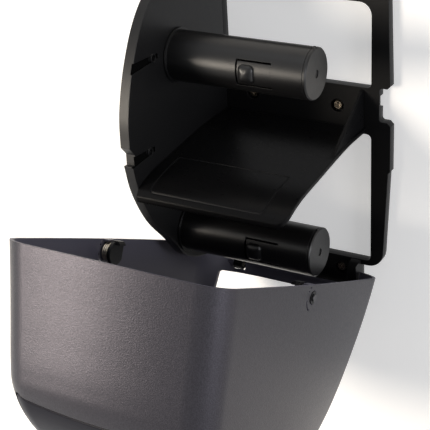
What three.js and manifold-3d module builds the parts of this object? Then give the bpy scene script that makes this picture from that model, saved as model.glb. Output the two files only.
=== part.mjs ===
// Double roll toilet paper dispenser for a wall, shown with its cover swung down for refilling.
// Millimetres, +Z up. The wall is the plane y = 0 and the front faces -Y.
// The origin is the middle of the rear face of the cross piece between the two windows.
import * as THREE from 'three';
import { mergeVertices } from 'three/addons/utils/BufferGeometryUtils.js';
import Module from 'manifold-3d';

const wasm = await Module();
wasm.setup();

// Fits shared by all pieces
const gap = 0.3;
const running = 0.6;
const overrun = 2;
const weld = 0.0005;

// Facets of round shapes
const arcSteps = 3;
const roundSteps = 28;
const smallRoundSteps = 16;
const quarterTurn = 90;

// Wall frame: a shallow tray, open at the back, with a window behind each roll
const skin = 2.5;
const frameDepth = 8;
const frameTop = 133;
const frameFoot = 139;
const frameHalfWidth = 83.4;
const frameTopRadius = 22;
const frameFootRadius = 13.5;
// Right edge from foot to top, as shares of half width and of height
const frameEdgeShares = [[0.93, 0], [0.958, 0.188], [0.98, 0.322], [1, 0.328], [1, 0.51], [0.966, 0.85], [0.943, 1]];
const frameEdgeRadii = [frameFootRadius, 0, 0, 0, 0, 0, frameTopRadius];
const windowMargin = 16.4;
const windowRight = frameHalfWidth - windowMargin;
const windowRadius = 4;
const windowTopRadius = 10;
const topBar = 46;
const footBar = 4.6;
const crossTop = 18.9;
const crossFoot = 20;
const mountPadWidth = 40;

// Notches in the frame's sides that the latches enter
const notchTop = 20;
const notchFoot = 8;
const notchDepth = 9.6;
const notchRadius = 2.5;
const notchBevel = 3;

// Hinge plate below the frame, its two lugs and the pins in them
const hingePlateInset = 25.4;
const hingePlateHalfWidth = frameHalfWidth - hingePlateInset;
const hingePlateRadius = 3;
const hingeForward = 17;
const hingeOffset = 19.4;
const hingeDrop = frameFoot + hingeOffset;
const hingePlateMargin = 6.6;
const hingePlateFoot = hingeDrop + hingePlateMargin;
const lugWidth = 8;
const lugRadius = 4.8;
const lugFront = 18.2;
const lugNeck = 8.4;
const lugShoulder = hingeDrop - lugNeck;
const lugRise = 2;
const pinRadius = 2;
const pinHeadRadius = 3.4;
const pinHeadThickness = 1.4;

// Wall screws in wells of the frame
const crossScrewReach = 37.9;
const crossScrewHeight = 0.7;
const footScrewInset = 18;
const footScrewReach = hingePlateHalfWidth - footScrewInset;
const footScrewOffset = 7;
const footScrewDrop = frameFoot + footScrewOffset;
const screwHeadRadius = 4.3;
const screwHeadHeight = 2.4;
const screwHeadRim = 1;
const screwShankRadius = 2.2;
const screwWellRadius = 5.5;
const screwWellDepth = 4;
const screwPadRadius = 8.5;
const screwDriveWidth = 1;
const screwDriveLength = 5;
const screwDriveDepth = 1.2;

// Side plate that carries the spindles
const plateInset = 20.8;
const plateFace = frameHalfWidth - plateInset;
const plateDepth = 152;
const plateTopDrop = 2;
const plateTop = frameTop - plateTopDrop;
const plateFoot = frameFoot;
const flangeWidth = 8;
const plateUpperShares = [[0.393, 0.924], [0.641, 0.842], [0.786, 0.708], [0.912, 0.468], [0.986, 0.208], [1, 0.026]];
const plateStepShares = [[0.962, 0.025], [0.965, 0.088], [0.989, 0.085]];
const plateLowerShares = [[0.953, 0.253], [0.852, 0.475], [0.694, 0.682], [0.577, 0.837], [0.416, 0.926]];
const plateSplineSteps = 22;
const keeperDepth = 1.2;
const keeperMouth = 9;
const keeperEnd = 4;
const keeperRingRadius = 3.4;
const keeperRingWall = 1;
const keeperRingHeight = 0.9;
const keeperRingPlace = 7;
const upperKeeperInset = 46.3;
const upperKeeperEnd = plateDepth - upperKeeperInset;
const upperKeeperHeight = 60.2;
const lowerKeeperInset = 32.2;
const lowerKeeperEnd = plateDepth - lowerKeeperInset;
const lowerKeeperHeight = -8.7;

// Shelf between the rolls, with the gusset that holds it up
const shelfSetback = 1.5;
const shelfDepth = plateDepth - shelfSetback;
const shelfRear = 15.1;
const shelfDrop = 20;
const shelfReach = plateFace - running;
const shelfThickness = 3;
const shelfCornerRadius = 9;
const shelfShares = [[0, 0.02], [0.267, 0], [0.613, 0.25], [0.847, 0.47], [0.967, 0.76], [1, 1], [1.04, 1.32]];
const shelfSplineSteps = 18;
const gussetInset = 1.4;
const gussetReach = shelfReach - gussetInset;
const gussetThickness = 2.5;
const gussetTop = 17;
const gussetRun = 65;
const gussetRootRadius = 6;
const panelLeftInset = 9.6;
const panelLeft = shelfReach - panelLeftInset;
const panelRightInset = 20.2;
const panelRight = shelfReach - panelRightInset;
const panelFarInset = 3.5;
const panelFar = shelfDepth - panelFarInset;
const panelRun = 44.7;
const panelNear = panelFar - panelRun;
const panelGroove = 0.8;
const panelGrooveDepth = 0.5;
const panelRadius = 3;

// Roll spindles
const spindleRadius = 19.5;
const spindleWall = 2.5;
const spindleClearance = 8.8;
const spindleLength = 2 * plateFace - spindleClearance;
const spindleInset = 73.5;
const spindleForward = plateDepth - spindleInset;
const upperSpindleHeight = 52.3;
const lowerSpindleHeight = -93.3;
const collarRadius = 21.2;
const collarThickness = 1.5;
const spigotRadius = 15.5;
const spigotWall = 2.5;
const barbRise = 0.8;
const barbLength = 1.6;
const capThickness = 2.5;
const capBevel = 0.9;
const capSkirt = 6;
const capHub = 3;
const capHubDepth = 0.8;
const capKeyWidth = 3.2;
const capKeyRise = 0.9;
const fingerFree = -2.4;
const fingerRoot = 26;
const fingerHalfWidth = 8.6;
const fingerSlot = 1.3;
const fingerThickness = 2.2;
const bumpLength = 12.4;
const bumpWidth = 13.4;
const bumpRise = 3.6;
const bumpInset = 1.2;
const bumpSquareness = 4;
const bumpRings = 4;

// Cover: one moulded shell, deepest in front of the shelf
const openAngle = 63.54;
const coverFrontRoom = 9;
const coverDepth = plateDepth + coverFrontRoom;
const coverTopRoom = 6.5;
const coverTop = frameTop + coverTopRoom;
const coverFootRoom = 8.1;
const coverFoot = hingeDrop + coverFootRoom;
const coverRim = 2.5;
const coverWall = 2.5;
const coverSideRoom = 5.6;
const coverHalfWidth = frameHalfWidth + coverSideRoom;
const coverBulge = 5;
const coverBulgeSpan = 130;
const coverMiddle = 10;
const coverDraft = 9.6;
const coverChin = 24;
const coverTopRadius = 20;
const coverFootRadius = 42;
// Section through the middle from foot to top, as shares of depth and of height
const coverShares = [
  [0.0155, 0], [0.124, 0.0007], [0.311, 0.008], [0.509, 0.031], [0.677, 0.07], [0.814, 0.132], [0.907, 0.217],
  [0.96, 0.315], [0.991, 0.43], [1, 0.57], [0.972, 0.685], [0.887, 0.791], [0.752, 0.882], [0.632, 0.928],
  [0.547, 0.9415], [0.373, 0.96], [0.186, 0.98], [0.0155, 1],
];
const coverStations = 44;
const coverArcSteps = 7;
const coverSideRows = 3;
const coverReach = 12;

// Paper outlet in the cover's foot, and the hinge edge behind it
const outletInset = 20.7;
const outletHalfWidth = coverHalfWidth - outletInset;
const outletTaper = 16.3;
const outletFrontHalfWidth = outletHalfWidth - outletTaper;
const outletRear = 25.5;
const outletShoulder = 42;
const outletFront = 84;
const outletRadius = 5;
const outletTop = 100;
const hingeEdge = 15.5;
const hingeLipWidth = 2;
const hingeLipRise = 2;
const lugSlotFront = 22.9;
const earThickness = 3;

// Front panel let into the cover
const frontPanelInset = 17.8;
const frontPanelHalfWidth = coverHalfWidth - frontPanelInset;
const frontPanelTaper = 9.2;
const frontPanelFootHalfWidth = frontPanelHalfWidth - frontPanelTaper;
const frontPanelTopDrop = 24.1;
const frontPanelTop = coverTop - frontPanelTopDrop;
const frontPanelDip = 4;
const frontPanelDipShares = [0.75, 0.5, 0.25, 0, -0.25, -0.5, -0.75];
const frontPanelFoot = -52;
const frontPanelRadius = 6;
const frontPanelSink = 0.3;
const frontPanelThickness = 1.1;
const frontPanelReach = 73;
const frontPanelStart = coverDepth - frontPanelReach;
const archInset = 11.2;
const archHalfWidth = frontPanelHalfWidth - archInset;
const archTopDrop = 10.4;
const archTop = frontPanelTop - archTopDrop;
const archSideDrop = 19;
const archSide = archTop - archSideDrop;
const archFootRise = 14;
const archFoot = frontPanelFoot + archFootRise;
const archDepth = 0.4;

// Latches in the cover's sides
const latchForward = 11.5;
const latchHeight = 8;
const latchTravel = 3;
const latchInset = 7.6;
const latchFace = frameHalfWidth - latchInset;
const latchDiscRadius = 9.5;
const latchDiscThickness = 2.5;
const latchFlat = 8;
const latchShaftRadius = 3;
const latchToothWidth = 8;
const latchToothReach = 4.1;
const latchToothTip = latchFace - latchToothReach;
const latchToothFront = 5.2;
const latchToothRear = 2.2;
const latchToothSlope = 2;
const latchWindow = 10;
const latchCapRadius = 4.6;
const latchCapThickness = 1.4;
const latchSeatDepth = 1.2;
const latchSeatRadius = 5.2;
const latchSlotRadius = 9.6;
const latchSlotWidth = 1.4;
const latchSlotFrom = 10;
const latchSlotSweep = 62;
const latchDotRadius = 0.9;
const latchDotAngles = [28, 48];
const latchPostDrop = 13.5;
const latchPostRadius = 2.2;
const latchPostInset = 4.7;
const latchPostReach = latchFace + latchPostInset;
const latchHookRise = 1.2;
const latchRoofHalfWidth = 5;
const latchRoofThickness = 1.4;
const latchRoofReach = latchFace + latchDiscThickness + latchTravel + gap;
const latchScrewRadius = 1.5;
const latchScrewHeadRadius = 2.6;
const latchScrewHeadThickness = 1.1;
const latchScrewLength = 8;

// Coil springs behind the latch discs
const springWire = 1.1;
const springTurns = 3.5;
const springTurnSteps = 8;
const springSides = 5;
const springRadius = latchForward - coverRim - latchRoofThickness - gap - springWire / 2;

// Finishes
const chassisPlastic = new THREE.MeshStandardMaterial({ color: 0x17171a, roughness: 0.45, metalness: 0 });
const spindlePlastic = new THREE.MeshStandardMaterial({ color: 0x1c1c1f, roughness: 0.38, metalness: 0 });
const coverPlastic = new THREE.MeshStandardMaterial({ color: 0x3a383d, roughness: 0.5, metalness: 0.1 });
const panelPlastic = new THREE.MeshStandardMaterial({ color: 0x28272c, roughness: 0.2, metalness: 0.1 });
const latchPlastic = new THREE.MeshStandardMaterial({ color: 0x101012, roughness: 0.4, metalness: 0 });
const screwSteel = new THREE.MeshStandardMaterial({ color: 0xb8bac0, roughness: 0.3, metalness: 1 });
const springSteel = new THREE.MeshStandardMaterial({ color: 0xb09a80, roughness: 0.35, metalness: 1 });

// Drawing planes: across, up, and the direction an outline is thickened in
const planes = {
  front: { basis: [[1, 0, 0], [0, 0, 1], [0, -1, 0]], lift: [0, 1, 0], from: Math.max },
  side: { basis: [[0, 1, 0], [0, 0, 1], [1, 0, 0]], lift: [1, 0, 0], from: Math.min },
  floor: { basis: [[1, 0, 0], [0, 1, 0], [0, 0, 1]], lift: [0, 0, 1], from: Math.min },
};

function solid(geometry) {
  const bare = geometry.clone();
  bare.deleteAttribute('normal');
  bare.deleteAttribute('uv');
  const merged = mergeVertices(bare, weld);
  const points = merged.attributes.position;
  const corner = (index) => new THREE.Vector3().fromBufferAttribute(points, index);
  const triangles = [];
  let volume = 0;
  for (let i = 0; i < merged.index.count; i += 3) {
    const [a, b, c] = [0, 1, 2].map((k) => merged.index.getX(i + k));
    if (a === b || b === c || c === a) continue;
    triangles.push([a, b, c]);
    volume += corner(a).dot(corner(b).cross(corner(c)));
  }
  const outward = volume > 0 ? triangles : triangles.map(([a, b, c]) => [a, c, b]);
  const mesh = new wasm.Mesh({
    numProp: 3,
    vertProperties: Float32Array.from(points.array),
    triVerts: Uint32Array.from(outward.flat()),
  });
  return new wasm.Manifold(mesh);
}

function slab(shape, plane, start, end) {
  const { basis, lift, from } = planes[plane];
  const depth = Math.abs(end - start);
  const geometry = new THREE.ExtrudeGeometry(shape, { depth, bevelEnabled: false, curveSegments: arcSteps });
  geometry.applyMatrix4(new THREE.Matrix4().makeBasis(...basis.map((v) => new THREE.Vector3(...v))));
  const near = from(start, end);
  geometry.translate(...lift.map((share) => share * near));
  return solid(geometry);
}

// A closed outline from corners [across, up, radius], each rounded by an arc of its radius
function outline(corners) {
  const shape = new THREE.Shape();
  const at = (i) => new THREE.Vector2(...corners[(i + corners.length) % corners.length]);
  corners.forEach(([across, up, radius = 0], i) => {
    const here = new THREE.Vector2(across, up);
    const back = at(i - 1).sub(here).normalize();
    const ahead = at(i + 1).sub(here).normalize();
    if (radius === 0) {
      if (i === 0) shape.moveTo(across, up);
      else shape.lineTo(across, up);
      return;
    }
    const half = Math.acos(THREE.MathUtils.clamp(back.dot(ahead), -1, 1)) / 2;
    const centre = back.clone().add(ahead).normalize().multiplyScalar(radius / Math.sin(half)).add(here);
    const trim = radius / Math.tan(half);
    const start = here.clone().addScaledVector(back, trim).sub(centre);
    const end = here.clone().addScaledVector(ahead, trim).sub(centre);
    shape.absarc(centre.x, centre.y, radius, start.angle(), end.angle(), back.cross(ahead) > 0);
  });
  shape.closePath();
  return shape;
}

function rectangle(left, right, foot, top, radius = 0) {
  return outline([[left, foot, radius], [right, foot, radius], [right, top, radius], [left, top, radius]]);
}

// A block between two corners, given as pairs along x, y and z
function block([x0, x1], [y0, y1], [z0, z1]) {
  return slab(rectangle(Math.min(x0, x1), Math.max(x0, x1), Math.min(y0, y1), Math.max(y0, y1)), 'floor', z0, z1);
}

// Points along a smooth curve through the given points
function smooth(points, steps) {
  const curve = new THREE.CatmullRomCurve3(points.map(([u, v]) => new THREE.Vector3(u, v, 0)), false, 'centripetal');
  return curve.getPoints(steps).map(({ x, y }) => new THREE.Vector2(x, y));
}

// The closed outline moved inwards by a distance, corner by corner
function inset(path, distance) {
  const points = path.filter((point, i) => point.distanceTo(path[(i + path.length - 1) % path.length]) > weld);
  const turn = Math.sign(THREE.ShapeUtils.area(points));
  const side = (a, b) => {
    const along = b.clone().sub(a).normalize();
    return new THREE.Vector2(-along.y, along.x).multiplyScalar(turn);
  };
  return points.map((here, i) => {
    const before = side(points[(i + points.length - 1) % points.length], here);
    const after = side(here, points[(i + 1) % points.length]);
    const miter = before.clone().add(after).divideScalar(1 + before.dot(after));
    return here.clone().addScaledVector(miter, distance);
  });
}

// A turned piece: profile [radius, along] about an axis through a centre
function turned(profile, axis, centre, steps = roundSteps) {
  const geometry = new THREE.LatheGeometry(profile.map(([r, h]) => new THREE.Vector2(r, h)), steps);
  if (axis === 'x') geometry.rotateZ(-Math.PI / 2);
  if (axis === 'z') geometry.rotateX(Math.PI / 2);
  geometry.translate(...centre);
  return solid(geometry);
}

function rod(radius, start, end, axis, centre, steps = roundSteps) {
  return turned([[0, start], [radius, start], [radius, end], [0, end]], axis, centre, steps);
}

function ring(inner, outer, start, end, axis, centre, steps = roundSteps) {
  const profile = [[inner, start], [outer, start], [outer, end], [inner, end], [inner, start]];
  return turned(profile, axis, centre, steps);
}

function unite(pieces) {
  return pieces.reduce((whole, piece) => whole.add(piece));
}

function place(name, manifold, finish, group) {
  const { vertProperties, triVerts } = manifold.getMesh();
  const geometry = new THREE.BufferGeometry();
  geometry.setAttribute('position', new THREE.BufferAttribute(vertProperties, 3));
  geometry.setIndex(new THREE.BufferAttribute(triVerts, 1));
  geometry.computeVertexNormals();
  const mesh = new THREE.Mesh(geometry, finish);
  mesh.name = name;
  group.add(mesh);
}

const sides = [['left', -1], ['right', 1]];
const crossScrews = sides.map(([, side]) => [side * crossScrewReach, crossScrewHeight]);
const footScrews = sides.map(([, side]) => [side * footScrewReach, -footScrewDrop]);
const wallScrews = [...crossScrews, ...footScrews];

// Notch outline on one side, opened outwards past the frame's edge
function notchOutline(side, grow) {
  const deep = frameHalfWidth - notchDepth - grow;
  const edge = frameHalfWidth - notchBevel;
  const past = frameHalfWidth + overrun;
  const flare = notchBevel + overrun;
  const corners = [
    [deep, -notchFoot - grow, notchRadius],
    [edge, -notchFoot - grow],
    [past, -notchFoot - grow - flare],
    [past, notchTop + grow + flare],
    [edge, notchTop + grow],
    [deep, notchTop + grow, notchRadius],
  ];
  return outline(corners.map(([across, up, radius]) => [side * across, up, radius]));
}

function windows(grow) {
  const left = -plateFace - grow;
  const right = windowRight + grow;
  const upper = outline([
    [left, crossTop - grow, windowRadius],
    [right, crossTop - grow, windowRadius],
    [right, frameTop - topBar + grow, windowTopRadius],
    [left, frameTop - topBar + grow, windowTopRadius],
  ]);
  const lower = rectangle(left, right, -frameFoot + footBar - grow, -crossFoot + grow, windowRadius);
  return [upper, lower];
}

// Everything cut through the frame, or with a wall left round it when grown
function frameOpenings(grow) {
  const shapes = [...windows(grow), ...sides.map(([, side]) => notchOutline(side, grow))];
  return unite(shapes.map((shape) => slab(shape, 'front', overrun, -frameDepth - overrun)));
}

function lug(side) {
  const top = -frameFoot + footBar - gap;
  const profile = outline([
    [-frameDepth + skin / 2, top],
    [-frameDepth + skin / 2, -hingeDrop - lugRadius],
    [-hingeForward, -hingeDrop - lugRadius],
    [-hingeForward - lugRadius, -hingeDrop],
    [-lugFront, -lugShoulder],
    [-lugFront, top - lugRise],
  ]);
  const outer = side * hingePlateHalfWidth;
  const inner = side * (hingePlateHalfWidth - lugWidth);
  const knuckle = rod(lugRadius, Math.min(inner, outer), Math.max(inner, outer), 'x', [0, -hingeForward, -hingeDrop]);
  return slab(profile, 'side', inner, outer).add(knuckle);
}

function backFrame() {
  const height = frameTop + frameFoot;
  const right = frameEdgeShares.map(([across, up], i) => [
    across * frameHalfWidth, up * height - frameFoot, frameEdgeRadii[i]]);
  const left = right.map(([across, up, radius]) => [-across, up, radius]).reverse();
  const edge = outline([...right, ...left]);
  const plate = rectangle(-hingePlateHalfWidth, hingePlateHalfWidth,
    -hingePlateFoot, -frameFoot + footBar / 2, hingePlateRadius);
  const bodies = [edge, plate].map((shape) => slab(shape, 'front', 0, -frameDepth));
  const hollows = [edge, plate].map((shape) => {
    const inner = new THREE.Shape(inset(shape.getPoints(arcSteps), skin));
    return slab(inner, 'front', overrun, -frameDepth + skin);
  });
  const pads = wallScrews.map(([x, z]) => rod(screwPadRadius, -frameDepth, overrun, 'y', [x, 0, z]));
  const middle = block([-mountPadWidth / 2, mountPadWidth / 2], [-frameDepth, overrun], [-crossFoot, crossTop]);
  const kept = unite([frameOpenings(skin), middle, ...pads]);
  const wells = wallScrews.map(([x, z]) => rod(
    screwWellRadius, -frameDepth - overrun, -frameDepth + screwWellDepth, 'y', [x, 0, z]));
  const holes = wallScrews.map(([x, z]) => rod(
    screwShankRadius + gap, -frameDepth, overrun, 'y', [x, 0, z], smallRoundSteps));
  const bores = sides.map(([, side]) => {
    const ends = [side * (hingePlateHalfWidth - lugWidth - overrun), side * (hingePlateHalfWidth + overrun)];
    return rod(pinRadius + gap, Math.min(...ends), Math.max(...ends), 'x',
      [0, -hingeForward, -hingeDrop], smallRoundSteps);
  });
  const catches = sides.map(([, side]) => block(
    [side * (frameHalfWidth - notchDepth - skin - overrun), side * (frameHalfWidth - notchDepth + overrun)],
    [-frameDepth + skin, overrun],
    [latchHeight - latchWindow / 2, latchHeight + latchWindow / 2]));
  return unite([...bodies, ...sides.map(([, side]) => lug(side))])
    .subtract(unite(hollows).subtract(kept))
    .subtract(frameOpenings(0))
    .subtract(unite([...wells, ...holes, ...bores, ...catches]));
}

// A pan head wall screw, cut off where it enters the wall
function wallScrew([x, z]) {
  const seat = -frameDepth + screwWellDepth - gap;
  const top = seat - screwHeadHeight;
  const profile = [
    [0, -gap], [screwShankRadius, -gap], [screwShankRadius, seat], [screwHeadRadius, seat],
    [screwHeadRadius, seat - screwHeadRim], [screwHeadRadius - screwHeadRim, top], [0, top],
  ];
  const body = turned(profile, 'y', [x, 0, z], smallRoundSteps);
  const half = screwDriveLength / 2;
  const thin = screwDriveWidth / 2;
  const depth = [top - overrun, top + screwDriveDepth];
  const drive = block([x - half, x + half], depth, [z - thin, z + thin])
    .add(block([x - thin, x + thin], depth, [z - half, z + half]));
  return body.subtract(drive);
}

function plateOutline() {
  const rear = -frameDepth - gap;
  const above = ([across, up]) => [-across * plateDepth, up * plateTop];
  const below = ([across, up]) => [-across * plateDepth, -up * plateFoot];
  const steps = plateStepShares.map(below);
  const upper = smooth([[rear, plateTop], ...plateUpperShares.map(above)], plateSplineSteps);
  const lower = smooth([steps[2], ...plateLowerShares.map(below), [rear, -plateFoot]], plateSplineSteps);
  const notch = steps.slice(0, 2).map((point) => new THREE.Vector2(...point));
  return [...upper, ...notch, ...lower].reverse();
}

// A shallow channel that narrows from the plate's edge to its end, with a ring near the end
function keeper(end, height) {
  const far = plateDepth + overrun;
  const shape = outline([
    [-far, height - keeperMouth / 2],
    [-end, height - keeperEnd / 2, keeperEnd / 4],
    [-end, height + keeperEnd / 2, keeperEnd / 4],
    [-far, height + keeperMouth / 2],
  ]);
  const floor = -plateFace - keeperDepth;
  const centre = [0, -end - keeperRingPlace, height];
  return {
    channel: slab(shape, 'side', floor, -plateFace + overrun),
    boss: ring(keeperRingRadius - keeperRingWall, keeperRingRadius, floor - gap, -plateFace + keeperRingHeight,
      'x', centre, smallRoundSteps),
  };
}

function sidePlate() {
  const edge = plateOutline();
  const inner = new THREE.Shape(inset(edge, skin));
  const keepers = [keeper(upperKeeperEnd, upperKeeperHeight), keeper(lowerKeeperEnd, lowerKeeperHeight)];
  const sockets = [upperSpindleHeight, lowerSpindleHeight].map((height) => rod(
    spigotRadius + gap, -plateFace - skin - overrun, -plateFace + overrun, 'x', [0, -spindleForward, height]));
  return slab(new THREE.Shape(edge), 'side', -plateFace - flangeWidth, -plateFace)
    .subtract(slab(inner, 'side', -plateFace - flangeWidth - overrun, -plateFace - skin))
    .subtract(unite([...keepers.map(({ channel }) => channel), ...sockets]))
    .add(unite(keepers.map(({ boss }) => boss)));
}

function rollShelf() {
  const left = -plateFace + gap;
  const rear = -frameDepth - gap;
  const top = smooth(shelfShares.map(([out, down]) => [-out * shelfDepth, -shelfRear - down * shelfDrop]),
    shelfSplineSteps);
  const under = (depth) => {
    const base = [top.at(-1), top[0]].map((end) => end.clone().setY(-shelfDepth));
    return slab(new THREE.Shape(inset([...top, ...base], depth)), 'side', left - overrun, shelfReach + overrun);
  };
  const plan = outline([
    [left, rear], [left, -shelfDepth], [shelfReach, -shelfDepth, shelfCornerRadius], [shelfReach, rear],
  ]);
  const tall = [-shelfRear - shelfDrop - shelfThickness - overrun, gussetTop];
  const board = under(0).subtract(under(shelfThickness)).intersect(slab(plan, 'floor', ...tall));
  const web = outline([
    [rear, gussetTop],
    [rear, -shelfRear - shelfThickness / 2],
    [-gussetRun - gussetRootRadius, -shelfRear - shelfThickness],
    [-gussetRun, -shelfRear - shelfThickness / 2],
    [-gussetRun + gussetRootRadius, -shelfRear + shelfThickness / 2],
  ]);
  const gusset = slab(web, 'side', gussetReach - gussetThickness, gussetReach);
  const panelOf = (grow) => slab(rectangle(
    -panelLeft - grow, panelRight + grow, -panelFar - grow, -panelNear + grow, panelRadius + grow), 'floor', ...tall);
  const groove = panelOf(panelGroove / 2).subtract(panelOf(-panelGroove / 2)).subtract(under(panelGrooveDepth));
  return board.subtract(groove).add(gusset);
}

// Space between two heights either side of a spindle's axis, in front of it
function fingerBay(height, halfWidth, from, to) {
  const front = -spindleForward - spindleRadius - bumpRise - overrun;
  return block([from, to], [front, -spindleForward - spindleWall], [height - halfWidth, height + halfWidth]);
}

const capSeat = -plateFace + spindleLength - capThickness;

function spindleTube(height) {
  const centre = [0, -spindleForward, height];
  const base = -plateFace + gap;
  const spigotEnd = -plateFace - skin - gap;
  const bore = spindleRadius - spindleWall;
  const profile = [
    [spigotRadius - spigotWall, spigotEnd - barbLength],
    [spigotRadius, spigotEnd - barbLength],
    [spigotRadius + barbRise, spigotEnd - gap],
    [spigotRadius + barbRise, spigotEnd],
    [spigotRadius, spigotEnd],
    [spigotRadius, base],
    [collarRadius, base],
    [collarRadius, base + collarThickness],
    [spindleRadius, base + collarThickness],
    [spindleRadius, capSeat - gap],
    [bore, capSeat - gap],
    [bore, base + collarThickness],
    [spigotRadius - spigotWall, base + collarThickness],
    [spigotRadius - spigotWall, spigotEnd - barbLength],
  ];
  return turned(profile, 'x', centre).subtract(
    fingerBay(height, fingerHalfWidth + fingerSlot, fingerFree, fingerRoot));
}

// A rounded square dome that stands on the plane y = 0 and points forward
function dome(length, width, rise, root) {
  const around = roundSteps;
  const points = [];
  const rim = (angle) => {
    const c = Math.cos(angle);
    const s = Math.sin(angle);
    return Math.pow(Math.abs(c) ** bumpSquareness + Math.abs(s) ** bumpSquareness, -1 / bumpSquareness);
  };
  const level = (shrink, lift) => {
    for (let i = 0; i < around; i += 1) {
      const angle = (2 * Math.PI * i) / around;
      const reach = rim(angle) * shrink / 2;
      points.push(length * reach * Math.cos(angle), lift, width * reach * Math.sin(angle));
    }
  };
  level(1, root);
  for (let k = 0; k < bumpRings; k += 1) {
    const climb = (Math.PI / 2) * (k / bumpRings);
    level(Math.cos(climb), -rise * Math.sin(climb));
  }
  const indices = [];
  for (let k = 0; k < bumpRings; k += 1) {
    for (let i = 0; i < around; i += 1) {
      const next = (i + 1) % around;
      const [a, b, c, d] = [k * around + i, k * around + next, (k + 1) * around + next, (k + 1) * around + i];
      indices.push(a, b, c, a, c, d);
    }
  }
  const base = points.length / 3;
  points.push(0, root, 0, 0, -rise, 0);
  for (let i = 0; i < around; i += 1) {
    const next = (i + 1) % around;
    indices.push(base, next, i, base + 1, bumpRings * around + i, bumpRings * around + next);
  }
  const geometry = new THREE.BufferGeometry();
  geometry.setAttribute('position', new THREE.Float32BufferAttribute(points, 3));
  geometry.setIndex(indices);
  return geometry;
}

function spindleFinger(height) {
  const centre = [0, -spindleForward, height];
  const start = fingerFree + fingerSlot;
  const end = fingerRoot - gap;
  const tongue = ring(spindleRadius - fingerThickness, spindleRadius, start, end, 'x', centre)
    .intersect(fingerBay(height, fingerHalfWidth, start, end));
  const bump = dome(bumpLength, bumpWidth, bumpRise, fingerThickness / 2);
  bump.translate(start + bumpInset + bumpLength / 2, -spindleForward - spindleRadius, height);
  const front = -spindleForward - spindleRadius + fingerThickness;
  const clear = block([start, end], [front - spindleRadius, front], [height - fingerHalfWidth, height + fingerHalfWidth]);
  return tongue.add(solid(bump).intersect(clear));
}

function endCap(height) {
  const centre = [0, -spindleForward, height];
  const end = capSeat + capThickness;
  const skirt = spindleRadius - spindleWall - gap;
  const profile = [
    [0, capSeat],
    [skirt - spindleWall, capSeat],
    [skirt - spindleWall, capSeat - capSkirt],
    [skirt, capSeat - capSkirt],
    [skirt, capSeat],
    [spindleRadius, capSeat],
    [spindleRadius, end - capBevel],
    [spindleRadius - capBevel, end],
    [capHub, end],
    [capHub, end - capHubDepth],
    [0, end - capHubDepth],
  ];
  const top = height + spindleRadius;
  const key = block([capSeat, end - capBevel],
    [-spindleForward - capKeyWidth / 2, -spindleForward + capKeyWidth / 2], [top - capKeyRise, top + capKeyRise]);
  return turned(profile, 'x', centre).add(key);
}

// Half width of the cover, which swells in the middle, narrows with depth and more so towards its chin
function coverHalfWidthAt(y, z) {
  const rise = (z - coverMiddle) / coverBulgeSpan;
  const depth = Math.max(-y, 0) / coverDepth;
  const drop = Math.max(coverMiddle - z, 0) / (coverMiddle + coverFoot);
  return coverHalfWidth - coverBulge * rise * rise - coverDraft * depth - coverChin * depth ** 1.5 * drop * drop;
}

function coverRadiusAt(z) {
  const drop = (coverTop - z) / (coverTop + coverFoot);
  return THREE.MathUtils.lerp(coverTopRadius, coverFootRadius, drop ** 3);
}

// Middle section with inward directions, run out at both ends past the rim
function coverSection() {
  const height = coverTop + coverFoot;
  const line = smooth(coverShares.map(([out, up]) => [-out * coverDepth, up * height - coverFoot]), coverStations);
  const stations = line.map((point, i) => {
    const along = line[Math.min(i + 1, line.length - 1)].clone().sub(line[Math.max(i - 1, 0)]).normalize();
    return { y: point.x, z: point.y, inward: [along.y, -along.x] };
  });
  const past = -coverRim + coverReach;
  const first = { y: past, z: stations[0].z, inward: [0, 1], end: true };
  const last = { y: past, z: stations.at(-1).z, inward: [0, -1], end: true };
  return [first, ...stations, last];
}

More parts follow.
